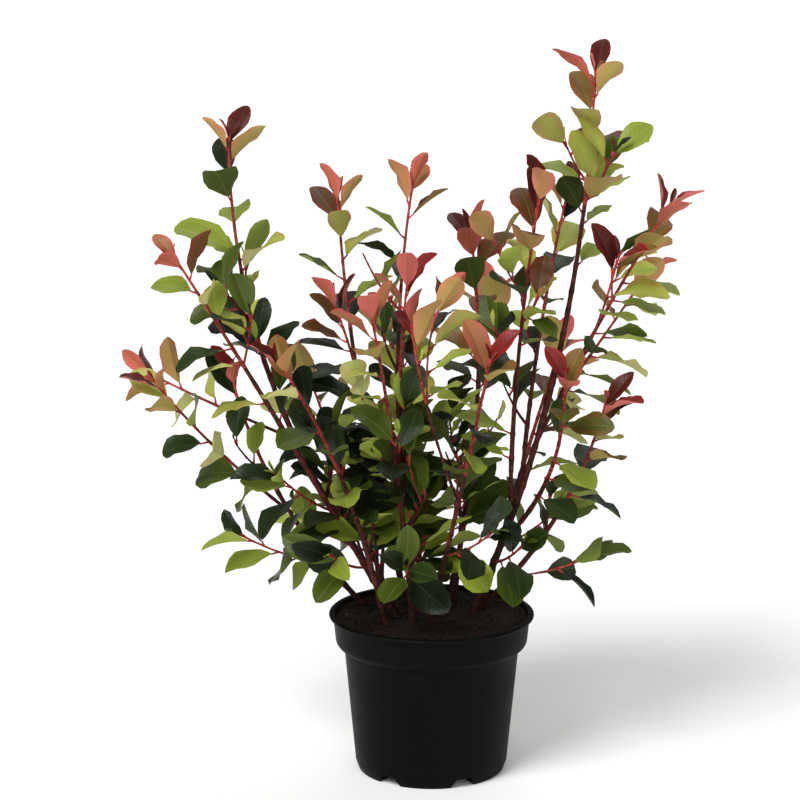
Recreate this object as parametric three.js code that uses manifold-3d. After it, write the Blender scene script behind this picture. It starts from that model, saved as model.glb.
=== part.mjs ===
// A small red-tipped photinia shrub in a round black growing pot.
// Millimetres, +Z up. The origin is the centre of the pot's flat underside, +X is the right of the
// shrub's best side and +Y points away from it.
// The shrub is several shoots from one root. Each shoot is a bare limb that carries a mass of leaves.

import * as THREE from 'three';
import { mergeVertices } from 'three/addons/utils/BufferGeometryUtils.js';
import Module from 'manifold-3d';

const wasm = await Module();
wasm.setup();

// The pot, a thin moulded wall with a deep band below its lip
const POT_HEIGHT = 149.5;
const LIP_RADIUS = 95;
const LIP_DEPTH = 4;
const LIP_OVERHANG = 3.5;
const BAND_DEPTH = 30;
const BAND_TAPER = 2.5;
const BAND_STEP = 8;
const BAND_TURNS = [0, 30, 60, 90];
const WALL = 2.2;
const BASE_RADIUS = 70.6;
const FOOT_RADIUS = 68;
const ROUND_SIDES = 36;

// The drainage channels that cut the underside into six feet round a middle disc
const CHANNELS = 6;
const CHANNEL_TURN = -5.3;
const CHANNEL_ROOF = 15;
const CHANNEL_MOUTH = 24;
const CHANNEL_HEIGHT = 8.5;
const CHANNEL_START = 30;
const DRAIN_RADIUS = 4.5;
const DRAIN_REACH = 52;

// The fill of potting mix, and the clearance between any two pieces
const SOIL_TOP = 146;
const GAP = 0.3;
const SHORTEST_EDGE = 0.1;

// The limbs
const LIMB_SIDES = 5;
const LIMB_STEP = 24;
const TIP_RADIUS = 0.8;
const BRANCH_GIRTH = 0.72;
const FLARE = 0.4;
const FLARE_HEIGHT = 12;

// The leafy stems and twigs have three sides, and these are a little stouter than round ones
const TWIG_SIDES = 3;
const TWIG_STEP = 48;
const TWIG_STOUTNESS = 1.35;

// The spacing and the spiral of the leaves along a stem
const NODE_GAP = 21;
const NODE_START = 4;
const NODE_PLAY = [0.85, 1.15];
const TUFT_CROWDING = 0.22;
const TUFT_OPENING = 0.16;
const FIRST_LEAF = 9;
const SPIRAL = 137.5;

// The leaves, from the small young ones at a tip to the full ones below
const LEAF_LENGTH = 50;
const PETIOLE_LENGTH = 9;
const YOUNG_PETIOLE = 0.4;
const YOUNG_SHARE = 0.72;
const GROWTH_PER_RANK = 0.1;
const GROWTH_PLAY = [0.82, 1.16];
const YOUNG_WIDTH = 0.44;
const FULL_WIDTH = 0.56;
const WIDTH_PLAY = [0.88, 1.12];
const FULL_RANK = 5;
const WIDEST_AT = 0.58;
const LEAF_THICKNESS = 1.1;
const YOUNG_SPREAD = 24;
const FULL_SPREAD = 60;
const TURN_PLAY = 24;
const ROLL_PLAY = 44;
const YOUNG_FOLD = 24;
const FULL_FOLD = 12;
const FOLD_PLAY = 10;
const LEAF_DROOP = 0.12;
const ROOT_SINK = 0.5;

// The turns and sizes that are tried for a leaf until one has room
const LEAF_TRIES = [
  [0, 1],
  [70, 1],
  [-70, 1],
  [0, 0.8],
  [140, 0.9],
  [-140, 0.9],
  [35, 0.7],
  [-35, 0.7],
];

// The side twigs
const TWIG_FIRST_RANK = 6;
const TWIG_CHANCE = 0.4;
const TWIG_LENGTH = 42;
const TWIG_PLAY = [0.7, 1.3];
const TWIG_SPREAD = 42;
const TWIG_RISE = 0.2;
const TWIG_LEAF_SIZE = 0.85;
const TWIG_AGE = 3;
const TWIG_LEAF_TURN = 90;
const TWIG_CLEAR_FROM = 0.3;

// The room round each mass: the points that are tested on a stem and a leaf, and the clearances kept
const CELL_MARGIN = 0.8;
const LIMB_MARGIN = 2.6;
const AXIS_MARKS = 12;
const LEAF_ROWS = 9;
const STALK_ROWS = 2;
const LEAF_COLUMNS = [-1, -0.5, 0, 0.5, 1];
const STALK_SAMPLES = STALK_ROWS * LEAF_COLUMNS.length;
const BLADE_MARGIN = 4;
const STEM_MARGIN = 3;
const LOWEST_LEAF = POT_HEIGHT + 2.5;
const CURVE_MARKS = 40;

// Where the chance in the shrub's growth starts: the first shoot has this number, and each next shoot
// or sprig in the two lists has the next one
const FIRST_SEED = 1;

// Each shoot from the soil has a foot on the ground plan. Each branch starts on another limb, at a
// share of that limb's length. Waist and tip are the middle and the end of its curve. Bare is the
// share of its length that is a limb of its own, and girth is its thickness at the foot.
const SHOOTS = [
  { name: 'left_tall', foot: [-29, 12], waist: [-146, 20, 360], tip: [-184, 30, 584],
    girth: 6.6, bare: 0.42 },
  { name: 'left_front', foot: [-34, -6], waist: [-134, -29, 327], tip: [-227, -60, 490],
    girth: 6.4, bare: 0.2 },
  { name: 'left_low', foot: [-65, 39], waist: [-141, 26, 254], tip: [-183, 10, 371],
    girth: 5.6, bare: 0.46 },
  { name: 'left_inner', foot: [-43, -30], waist: [-80, -55, 284], tip: [-134, -90, 400],
    girth: 5.4, bare: 0.22 },
  { name: 'mid_left_tall', foot: [-22, 35], waist: [-65, 58, 336], tip: [-87, 90, 521],
    girth: 6.0, bare: 0.42 },
  { name: 'front_left', foot: [-18, -22], waist: [-33, -42, 299], tip: [-54, -70, 438],
    girth: 5.4, bare: 0.24 },
  { name: 'middle_tall', foot: [-12, 15], waist: [-31, 34, 350], tip: [-17, 60, 543],
    girth: 6.2, bare: 0.31 },
  { name: 'mid_right_back', foot: [15, 32], waist: [42, 48, 324], tip: [36, 70, 494],
    girth: 5.8, bare: 0.24 },
  { name: 'front_middle', foot: [-2, -30], waist: [26, -64, 282], tip: [49, -110, 407],
    girth: 5.6, bare: 0.48 },
  { name: 'right_tall', foot: [38, 12], waist: [114, 15, 379], tip: [146, 20, 645],
    girth: 7.4, bare: 0.36 },
  { name: 'right_low', foot: [46, 24], waist: [116, 1, 242], tip: [156, -30, 353],
    girth: 5.2, bare: 0.24 },
  { name: 'back_left', foot: [-40, 55], waist: [-84, 100, 262], tip: [-115, 150, 335],
    girth: 5.4, bare: 0.26 },
  { name: 'back_mid_left', foot: [-6, 54], waist: [-25, 108, 292], tip: [-40, 165, 398],
    girth: 5.6, bare: 0.26 },
  { name: 'back_mid_right', foot: [22, 56], waist: [42, 108, 302], tip: [55, 170, 415],
    girth: 5.6, bare: 0.2 },
  { name: 'back_right', foot: [50, 46], waist: [90, 92, 274], tip: [125, 150, 370],
    girth: 5.4, bare: 0.26 },
  { name: 'far_left_high', from: 'left_tall', at: 0.4, waist: [-206, 44, 338], tip: [-265, 70, 361],
    bare: 0.36 },
  { name: 'middle_right', from: 'front_middle', at: 0.46, waist: [-4, -69, 353], tip: [-19, -60, 430],
    bare: 0.58 },
  { name: 'far_right_high', from: 'right_tall', at: 0.33, waist: [151, 13, 416], tip: [213, 10, 526],
    bare: 0.22 },
  { name: 'right_tall_inner', from: 'right_tall', at: 0.18, waist: [78, -6, 388], tip: [96, -20, 545],
    bare: 0.16 },
  { name: 'right_behind', from: 'right_tall', at: 0.24, waist: [98, 34, 395], tip: [124, 60, 529],
    bare: 0.16 },
  { name: 'front_right', from: 'right_tall', at: 0.14, waist: [106, -42, 292], tip: [115, -100, 389],
    bare: 0.16 },
  { name: 'far_left_low', from: 'left_low', at: 0.44, waist: [-196, 13, 299], tip: [-250, -10, 366],
    bare: 0 },
  { name: 'mid_left_short', from: 'mid_left_tall', at: 0.4, waist: [-68, 13, 369], tip: [-88, -10, 439],
    bare: 0 },
  { name: 'middle_short', from: 'middle_tall', at: 0.29, waist: [-29, 3, 361], tip: [-23, -20, 459],
    bare: 0 },
  { name: 'middle_fork', from: 'middle_right', at: 0.55, waist: [-3, -38, 408], tip: [10, -10, 446],
    bare: 0 },
  { name: 'far_right_behind', from: 'far_right_high', at: 0.18, waist: [158, 44, 399], tip: [199, 80, 450],
    bare: 0 },
  { name: 'right_upright', from: 'far_right_high', at: 0.12, waist: [143, -6, 405], tip: [164, -30, 482],
    bare: 0 },
];

// Short leafy sprigs low on the limbs: where each starts, its bearing about the limb from +X
// towards +Y, its rise above level, both in degrees, and its length
const SPRIGS = [
  { name: 'low_far_left', from: 'left_low', at: 0.2, bearing: 185, rise: 20, length: 84 },
  { name: 'low_left', from: 'left_tall', at: 0.24, bearing: 225, rise: 34, length: 84 },
  { name: 'low_front_left', from: 'left_front', at: 0.14, bearing: 245, rise: 22, length: 78 },
  { name: 'low_front', from: 'front_left', at: 0.16, bearing: 268, rise: 20, length: 74 },
  { name: 'low_front_right', from: 'front_middle', at: 0.26, bearing: 305, rise: 28, length: 80 },
  { name: 'low_right', from: 'right_tall', at: 0.1, bearing: 290, rise: 26, length: 76 },
  { name: 'low_far_right', from: 'right_low', at: 0.18, bearing: 355, rise: 16, length: 78 },
  { name: 'low_back_right', from: 'back_right', at: 0.2, bearing: 35, rise: 22, length: 80 },
  { name: 'low_back', from: 'back_mid_left', at: 0.2, bearing: 85, rise: 22, length: 78 },
  { name: 'low_back_left', from: 'back_left', at: 0.2, bearing: 160, rise: 22, length: 80 },
];

const FINISHES = {
  pot: { color: '#171717', roughness: 0.5, metalness: 0 },
  soil: { color: '#2b1c13', roughness: 1, metalness: 0 },
  stem: { color: '#6b2a26', roughness: 0.6, metalness: 0 },
  foliage: { color: '#5d7430', roughness: 0.45, metalness: 0 },
};

const WORLD_UP = new THREE.Vector3(0, 0, 1);
const WORLD_AWAY = new THREE.Vector3(0, 1, 0);

const radians = THREE.MathUtils.degToRad;
const mix = THREE.MathUtils.lerp;

// A repeatable stream of numbers from 0 to 1
function seeded(seed) {
  const modulus = 2147483647;
  let state = (seed * 7919 + 104729) % modulus;
  const next = () => {
    state = (state * 48271) % modulus;
    return state / modulus;
  };
  next();
  next();
  return next;
}

// A solid from a closed geometry, with its faces turned outwards
function toSolid(geometry) {
  const bare = geometry.clone();
  bare.deleteAttribute('normal');
  bare.deleteAttribute('uv');
  const merged = mergeVertices(bare);
  const corners = merged.index.array;
  const kept = [];
  for (let i = 0; i < corners.length; i += 3) {
    const [a, b, c] = [corners[i], corners[i + 1], corners[i + 2]];
    if (a !== b && b !== c && c !== a) kept.push(a, b, c);
  }
  const place = (index) => new THREE.Vector3().fromBufferAttribute(merged.attributes.position, index);
  let volume = 0;
  for (let i = 0; i < kept.length; i += 3) {
    volume += place(kept[i]).dot(place(kept[i + 1]).cross(place(kept[i + 2])));
  }
  if (volume < 0) kept.reverse();
  return new wasm.Manifold(new wasm.Mesh({
    numProp: 3,
    vertProperties: new Float32Array(merged.attributes.position.array),
    triVerts: new Uint32Array(kept),
  }));
}

// The geometry of a finished solid
function toGeometry(solid) {
  const mesh = solid.getMesh();
  const geometry = new THREE.BufferGeometry();
  geometry.setAttribute('position', new THREE.BufferAttribute(mesh.vertProperties, 3));
  geometry.setIndex(new THREE.BufferAttribute(mesh.triVerts, 1));
  geometry.computeVertexNormals();
  return geometry;
}

// The main body of a solid, without loose scraps, sealed hollows and edges too short to keep
function mainBody(solid) {
  const bodies = solid.simplify(SHORTEST_EDGE).decompose();
  return bodies.reduce((best, body) => (body.volume() > best.volume() ? body : best));
}

// The pot

// A solid of revolution about Z from a list of [radius, height] that starts and ends on the axis
function turned(profile) {
  const points = profile.map(([radius, height]) => new THREE.Vector2(radius, height));
  return toSolid(new THREE.LatheGeometry(points, ROUND_SIDES).rotateX(Math.PI / 2));
}

// The bars that run out from the middle along the channels, grown on each side. Each widens downwards
// from the channel's roof to its mouth and on below the ground by as much again.
function channelBars(grown) {
  const start = CHANNEL_START - grown;
  const length = LIP_RADIUS - start;
  const height = 2 * (CHANNEL_HEIGHT + grown);
  const roof = CHANNEL_ROOF + 2 * grown;
  const floor = 2 * CHANNEL_MOUTH - CHANNEL_ROOF + 2 * grown;
  return Array.from({ length: CHANNELS }, (_, index) => {
    const bar = new THREE.BoxGeometry(length, 1, height);
    const corners = bar.attributes.position;
    for (let corner = 0; corner < corners.count; corner++) {
      const width = corners.getZ(corner) > 0 ? roof : floor;
      corners.setY(corner, corners.getY(corner) * width);
    }
    bar.translate(start + length / 2, 0, 0);
    bar.rotateZ(radians(CHANNEL_TURN + (index * 360) / CHANNELS));
    return toSolid(bar);
  });
}

// The space inside the pot, shrunk by a gap all round and filled up to a height
function inside(gap, top) {
  const thick = WALL + gap;
  const bandFoot = POT_HEIGHT - BAND_DEPTH;
  const bandInner = LIP_RADIUS - LIP_OVERHANG - BAND_TAPER - thick;
  const bandRadius = (height) => bandInner + (height - bandFoot) * (BAND_TAPER / BAND_DEPTH);
  const ledge = bandFoot + BAND_STEP / 2 + gap;
  const form = turned([
    [0, thick],
    [FOOT_RADIUS - thick, thick],
    [BASE_RADIUS - thick, thick + CHANNEL_HEIGHT],
    [bandInner - BAND_STEP, bandFoot - WALL + gap],
    [bandRadius(ledge), ledge],
    [bandRadius(top), top],
    [0, top],
  ]);
  return channelBars(thick).reduce((space, bar) => space.subtract(bar), form);
}

function makePot() {
  const bandTop = LIP_RADIUS - LIP_OVERHANG;
  const bandBottom = bandTop - BAND_TAPER;
  const bandFoot = POT_HEIGHT - BAND_DEPTH;
  const lipFoot = POT_HEIGHT - LIP_DEPTH;
  const round = LIP_DEPTH / 4;
  // The band's underside turns out and up in a quarter round
  const neck = bandBottom - BAND_STEP;
  const underside = BAND_TURNS.map((turn) => [
    neck + BAND_STEP * Math.sin(radians(turn)),
    bandFoot - WALL + BAND_STEP * (1 - Math.cos(radians(turn))),
  ]);
  const outer = turned([
    [0, 0],
    [FOOT_RADIUS - round, 0],
    [FOOT_RADIUS, round],
    [BASE_RADIUS, CHANNEL_HEIGHT],
    ...underside,
    [bandTop, lipFoot - round],
    [LIP_RADIUS - round, lipFoot],
    [LIP_RADIUS, lipFoot + round],
    [LIP_RADIUS, POT_HEIGHT - round],
    [LIP_RADIUS - round, POT_HEIGHT],
    [0, POT_HEIGHT],
  ]);
  let pot = channelBars(0).reduce((body, bar) => body.subtract(bar), outer);
  pot = pot.subtract(inside(0, POT_HEIGHT + LIP_DEPTH));
  for (let index = 0; index < CHANNELS; index++) {
    const angle = radians(CHANNEL_TURN + (index * 360) / CHANNELS);
    const drain = new THREE.CylinderGeometry(DRAIN_RADIUS, DRAIN_RADIUS, 4 * WALL, ROUND_SIDES / 3);
    drain.rotateX(Math.PI / 2);
    drain.translate(DRAIN_REACH * Math.cos(angle), DRAIN_REACH * Math.sin(angle), CHANNEL_HEIGHT + WALL);
    pot = pot.subtract(toSolid(drain));
  }
  return mainBody(pot);
}

// The limbs

// A shoot's centre line and taper. Places along it are in millimetres from its foot.
class Axis {
  constructor(foot, waist, tip, footRadius, tipRadius) {
    const bend = waist.clone().multiplyScalar(2).addScaledVector(foot, -0.5).addScaledVector(tip, -0.5);
    this.curve = new THREE.QuadraticBezierCurve3(foot, bend, tip);
    this.curve.arcLengthDivisions = CURVE_MARKS;
    this.length = this.curve.getLength();
    this.footRadius = footRadius;
    this.tipRadius = tipRadius;
  }

  point(place) {
    return this.curve.getPointAt(place / this.length);
  }

  radius(place) {
    return mix(this.footRadius, this.tipRadius, place / this.length);
  }

  // The direction along the axis and two directions across it, one nearly level to the right and
  // one away from the shrub's best side
  frame(place) {
    const along = this.curve.getTangentAt(place / this.length);
    const away = WORLD_AWAY.clone().addScaledVector(along, -along.y).normalize();
    const right = away.clone().cross(along);
    return { along, away, right };
  }

  // Points with radii, evenly spaced over a stretch of the axis
  marks(start, end) {
    return Array.from({ length: AXIS_MARKS + 1 }, (_, index) => {
      const place = mix(start, end, index / AXIS_MARKS);
      return { point: this.point(place), radius: this.radius(place) };
    });
  }
}

// A closed tapering tube along a stretch of an axis, grown by a clearance
function tube(axis, start, end, sides, step, { stoutness = 1, grown = 0, flare = 0 } = {}) {
  const rings = Math.max(1, Math.ceil((end - start) / step));
  const positions = [];
  const faces = [];
  const places = Array.from({ length: rings + 1 }, (_, ring) => mix(start, end, ring / rings));
  if (flare > 0) places.splice(1, 0, start + FLARE_HEIGHT);
  for (const place of places) {
    const centre = axis.point(place);
    const { right, away } = axis.frame(place);
    const swell = 1 + flare * Math.max(0, 1 - (place - start) / FLARE_HEIGHT);
    const radius = (axis.radius(place) * swell + grown / Math.cos(Math.PI / sides)) * stoutness;
    for (let side = 0; side < sides; side++) {
      const angle = (2 * Math.PI * side) / sides;
      const corner = centre.clone().addScaledVector(right, radius * Math.cos(angle));
      positions.push(...corner.addScaledVector(away, radius * Math.sin(angle)));
    }
  }
  for (let ring = 0; ring + 1 < places.length; ring++) {
    for (let side = 0; side < sides; side++) {
      const a = ring * sides + side;
      const b = ring * sides + ((side + 1) % sides);
      faces.push(a, b, b + sides, a, b + sides, a + sides);
    }
  }
  const last = (places.length - 1) * sides;
  for (let side = 1; side + 1 < sides; side++) {
    faces.push(0, side + 1, side, last, last + side, last + side + 1);
  }
  const geometry = new THREE.BufferGeometry();
  geometry.setAttribute('position', new THREE.Float32BufferAttribute(positions, 3));
  geometry.setIndex(faces);
  return toSolid(geometry);
}

// The bare limb of a shoot, with a flare at the soil
function bareStem({ axis, parent, leafyFrom }, grown) {
  return tube(axis, 0, leafyFrom + grown, LIMB_SIDES, LIMB_STEP, { grown, flare: parent ? 0 : FLARE });
}

// The stem that runs on from the limb through its mass of leaves
function leafyStem({ axis, leafyFrom }, grown) {
  const start = leafyFrom > 0 ? leafyFrom + GAP - grown : 0;
  return tube(axis, start, axis.length, TWIG_SIDES, TWIG_STEP, { stoutness: TWIG_STOUTNESS, grown });
}

// A block that holds everything below the feet of the limbs
function groundBlock() {
  const size = 4 * LIP_RADIUS;
  const block = new THREE.BoxGeometry(size, size, size);
  block.translate(0, 0, SOIL_TOP + GAP - size / 2);
  return toSolid(block);
}

// Each shoot and sprig with its axis, its parent and the place where its leaves begin
function layOut() {
  const shoots = new Map();
  for (const row of SHOOTS) {
    const parent = shoots.get(row.from);
    const place = parent ? parent.axis.length * row.at : 0;
    const foot = parent ? parent.axis.point(place) : new THREE.Vector3(...row.foot, SOIL_TOP);
    const radius = parent ? parent.axis.radius(place) * BRANCH_GIRTH : row.girth / 2;
    const waist = new THREE.Vector3(...row.waist);
    const axis = new Axis(foot, waist, new THREE.Vector3(...row.tip), radius, TIP_RADIUS);
    const seed = FIRST_SEED + shoots.size;
    shoots.set(row.name, { ...row, seed, parent, axis, leafyFrom: axis.length * row.bare });
  }
  for (const row of SPRIGS) {
    const parent = shoots.get(row.from);
    const place = parent.axis.length * row.at;
    const foot = parent.axis.point(place);
    const bearing = radians(row.bearing);
    const rise = radians(row.rise);
    const reach = new THREE.Vector3(
      Math.cos(bearing) * Math.cos(rise),
      Math.sin(bearing) * Math.cos(rise),
      Math.sin(rise),
    ).multiplyScalar(row.length);
    const tip = foot.clone().add(reach);
    const waist = foot.clone().addScaledVector(reach, 0.5);
    waist.z -= (row.length * TWIG_RISE) / 4;
    const radius = (parent.axis.radius(place) * BRANCH_GIRTH) / 2;
    const axis = new Axis(foot, waist, tip, radius, TIP_RADIUS);
    const seed = FIRST_SEED + shoots.size;
    shoots.set(row.name, { ...row, seed, parent, axis, bare: 0, leafyFrom: 0 });
  }
  return [...shoots.values()];
}

// The distance from a point to a run of marks, less the radius there when that counts
function distanceTo(marks, point, countRadius) {
  let nearest = Infinity;
  for (let index = 0; index + 1 < marks.length; index++) {
    const { point: start, radius: startRadius } = marks[index];
    const { point: end, radius: endRadius } = marks[index + 1];
    const span = end.clone().sub(start);
    const share = THREE.MathUtils.clamp(point.clone().sub(start).dot(span) / span.lengthSq(), 0, 1);
    const distance = span.multiplyScalar(share).add(start).distanceTo(point);
    nearest = Math.min(nearest, distance - (countRadius ? mix(startRadius, endRadius, share) : 0));
  }
  return nearest;
}

// Whether points stay in the room of a shoot's own mass, clear of every limb and of the pot
function hasRoom(points, shoot, shoots) {
  return points.every((point) => {
    if (point.z < LOWEST_LEAF) return false;
    const own = distanceTo(shoot.leafyMarks, point, false) + CELL_MARGIN;
    return shoots.every((other) => {
      if (other !== shoot && distanceTo(other.leafyMarks, point, false) < own) return false;
      return !other.limbMarks || distanceTo(other.limbMarks, point, true) > LIMB_MARGIN;
    });
  });
}

// The leaves

// What a leaf's node gives it: its chance turns and its growth. Rank counts nodes back from the tip.
function planLeaf(rank, draw) {
  const age = Math.min(1, rank / FULL_RANK);
  return {
    age,
    swing: TURN_PLAY * (draw() - 0.5),
    spread: radians(mix(YOUNG_SPREAD, FULL_SPREAD, age) + TURN_PLAY * (draw() - 0.5)),
    roll: radians(ROLL_PLAY * (draw() - 0.5)),
    growth: Math.min(1, YOUNG_SHARE + GROWTH_PER_RANK * rank) * mix(...GROWTH_PLAY, draw()),
    breadth: mix(YOUNG_WIDTH, FULL_WIDTH, age) * mix(...WIDTH_PLAY, draw()),
    fold: radians(mix(YOUNG_FOLD, FULL_FOLD, age) + FOLD_PLAY * (draw() - 0.5)),
  };
}

// One leaf's place and size at its node on a stem
function placeLeaf(axis, place, bearing, size, plan) {
  const { along, away, right } = axis.frame(place);
  const { age, spread, roll, fold } = plan;
  const angle = radians(bearing + plan.swing);
  const outward = right.multiplyScalar(Math.cos(angle)).addScaledVector(away, Math.sin(angle));
  const blade = LEAF_LENGTH * size * plan.growth;
  const width = blade * plan.breadth;
  const [ahead, aside] = [Math.cos(spread), Math.sin(spread)];
  const direction = along.clone().multiplyScalar(ahead).addScaledVector(outward, aside);
  const level = along.clone().multiplyScalar(aside).addScaledVector(outward, -ahead);
  const across = direction.clone().cross(level);
  const upper = level.multiplyScalar(Math.cos(roll)).addScaledVector(across, Math.sin(roll));
  return {
    base: axis.point(place).addScaledVector(direction, -ROOT_SINK * axis.radius(place)),
    direction,
    upper,
    across: direction.clone().cross(upper),
    length: blade + PETIOLE_LENGTH * mix(YOUNG_PETIOLE, 1, age),
    width,
    fold,
  };
}

// A point of a leaf, at a share of its length and a share of its half width
function leafPoint(leaf, share, side) {
  const past = (share - WIDEST_AT) / (1 - WIDEST_AT);
  const half = (leaf.width / 2) * (past < 0 ? share / WIDEST_AT : 1 - past);
  const drop = leaf.length * LEAF_DROOP * Math.max(0, past);
  const lift = half * Math.abs(side) * Math.tan(leaf.fold) - drop;
  return leaf.base.clone()
    .addScaledVector(leaf.direction, leaf.length * share)
    .addScaledVector(leaf.across, half * side)
    .addScaledVector(leaf.upper, lift);
}

// The points at which a leaf's room is tested
function leafSamples(leaf) {
  const points = [];
  for (let row = 1; row <= LEAF_ROWS; row++) {
    for (const side of LEAF_COLUMNS) points.push(leafPoint(leaf, row / LEAF_ROWS, side));
  }
  return points;
}

// Whether a blade comes too near a blade or a stem that is already there
function crosses(points, leaves, stems) {
  const blade = points.slice(STALK_SAMPLES);
  return blade.some((point) => stems.some((marks) => distanceTo(marks, point, false) < STEM_MARGIN))
    || leaves.some(({ samples }) => samples.slice(STALK_SAMPLES).some(
      (mark) => blade.some((point) => point.distanceTo(mark) < BLADE_MARGIN),
    ));
}

// A leaf of eight faces: a kite folded along its midrib, thick in the middle and sharp at its edge
function makeLeaf(leaf) {
  const middle = leafPoint(leaf, WIDEST_AT, 0);
  const corners = [
    leafPoint(leaf, 0, 0),
    leafPoint(leaf, WIDEST_AT, 1),
    leafPoint(leaf, 1, 0),
    leafPoint(leaf, WIDEST_AT, -1),
    middle.clone().addScaledVector(leaf.upper, LEAF_THICKNESS / 2),
    middle.clone().addScaledVector(leaf.upper, -LEAF_THICKNESS / 2),
  ];
  const geometry = new THREE.BufferGeometry();
  const numbers = corners.flatMap((corner) => [...corner]);
  geometry.setAttribute('position', new THREE.Float32BufferAttribute(numbers, 3));
  geometry.setIndex([0, 1, 4, 1, 2, 4, 2, 3, 4, 3, 0, 4, 1, 0, 5, 2, 1, 5, 3, 2, 5, 0, 3, 5]);
  return toSolid(geometry);
}

// The places of the nodes on a stem, from its tip back to where its leaves begin
function nodePlaces(axis, from, draw) {
  const places = [];
  let place = axis.length - NODE_START;
  while (place > from + FIRST_LEAF) {
    places.push(place);
    const crowding = Math.min(1, TUFT_CROWDING + TUFT_OPENING * places.length);
    place -= NODE_GAP * crowding * mix(...NODE_PLAY, draw());
  }
  return places;
}

// A side twig that leaves a stem with a leaf's bearing and bends up
function planTwig(axis, place, bearing, draw) {
  const { along, away, right } = axis.frame(place);
  const angle = radians(bearing);
  const spread = radians(TWIG_SPREAD);
  const length = TWIG_LENGTH * mix(...TWIG_PLAY, draw());
  const foot = axis.point(place);
  const reach = right.multiplyScalar(Math.cos(angle)).addScaledVector(away, Math.sin(angle))
    .multiplyScalar(Math.sin(spread)).addScaledVector(along, Math.cos(spread)).multiplyScalar(length);
  const tip = foot.clone().add(reach).addScaledVector(WORLD_UP, length * TWIG_RISE);
  const waist = foot.clone().addScaledVector(reach, 0.5);
  return new Axis(foot, waist, tip, axis.radius(place) * BRANCH_GIRTH, TIP_RADIUS * BRANCH_GIRTH);
}

// The leaves and side twigs of one shoot: the rule that the shrub grows by
function growMass(shoot, shoots) {
  const draw = seeded(shoot.seed);
  const turn = 360 * draw();
  const stems = [shoot.leafyMarks];
  const twigs = [];
  const leaves = [];
  const offer = (axis, place, bearing, size, plan) => {
    for (const [turned, share] of LEAF_TRIES) {
      const leaf = placeLeaf(axis, place, bearing + turned, size * share, plan);
      leaf.samples = leafSamples(leaf);
      if (!crosses(leaf.samples, leaves, stems) && hasRoom(leaf.samples, shoot, shoots)) {
        leaves.push(leaf);
        return;
      }
    }
  };
  nodePlaces(shoot.axis, shoot.leafyFrom, draw).forEach((place, rank) => {
    const bearing = turn + rank * SPIRAL;
    offer(shoot.axis, place, bearing, 1, planLeaf(rank, draw));
    const sprouts = draw() < TWIG_CHANCE;
    if (rank < TWIG_FIRST_RANK || !sprouts) return;
    const twig = planTwig(shoot.axis, place, bearing, draw);
    const marks = twig.marks(twig.length * TWIG_CLEAR_FROM, twig.length);
    const clear = hasRoom(marks.map((mark) => mark.point), shoot, shoots)
      && leaves.every(({ samples }) => samples.slice(STALK_SAMPLES)
        .every((point) => distanceTo(marks, point, false) > STEM_MARGIN));
    if (clear) {
      twigs.push(twig);
      stems.push(marks);
    }
    nodePlaces(twig, 0, draw).forEach((twigPlace, twigRank) => {
      const plan = planLeaf(twigRank + TWIG_AGE, draw);
      const around = bearing + TWIG_LEAF_TURN + twigRank * SPIRAL;
      if (clear) offer(twig, twigPlace, around, TWIG_LEAF_SIZE, plan);
    });
  });
  return { twigs, leaves };
}

// The assembly

const group = new THREE.Group();

// Adds one named piece with its own material
function add(name, finish, solid) {
  const mesh = new THREE.Mesh(toGeometry(solid), new THREE.MeshStandardMaterial(FINISHES[finish]));
  mesh.name = name;
  group.add(mesh);
}

add('pot', 'pot', makePot());
add('soil', 'soil', mainBody(inside(GAP, SOIL_TOP)));

const shoots = layOut();
for (const shoot of shoots) {
  const { axis, leafyFrom } = shoot;
  shoot.leafyMarks = axis.marks(leafyFrom, axis.length);
  if (leafyFrom > 0) shoot.limbMarks = axis.marks(0, leafyFrom);
}

const ground = groundBlock();
for (const shoot of shoots) {
  const { name, axis, parent, leafyFrom } = shoot;
  const carrier = parent ? bareStem(parent, GAP).add(leafyStem(parent, GAP)) : ground;
  if (leafyFrom > 0) add(`stem_${name}`, 'stem', mainBody(bareStem(shoot, 0).subtract(carrier)));
  const { twigs, leaves } = growMass(shoot, shoots);
  let mass = leafyStem(shoot, 0);
  if (leafyFrom === 0) mass = mainBody(mass.subtract(carrier));
  for (const twig of twigs) {
    mass = mass.add(tube(twig, 0, twig.length, TWIG_SIDES, TWIG_STEP, { stoutness: TWIG_STOUTNESS }));
  }
  for (const leaf of leaves) mass = mass.add(makeLeaf(leaf));
  add(`leaves_${name}`, 'foliage', mainBody(mass));
}

export default group;
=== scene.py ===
"""A potted little red robin photinia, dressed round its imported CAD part.

Metres, +Z up, in the frame of the CAD part. Sizes are named in millimetres, as in the part's own
source, and mm() turns them to metres. The shrub grows by the rule of the part's source, with the same
seeds, and is carried on to finer twigs in the same rooms.
"""

import logging
import math
from collections.abc import Callable
from dataclasses import dataclass, field
from enum import Enum
from typing import Any

import bpy
import numpy as np
from bpy.types import Material, Node, NodeSocket, NodeTree, Object
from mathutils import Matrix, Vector, noise


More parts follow.
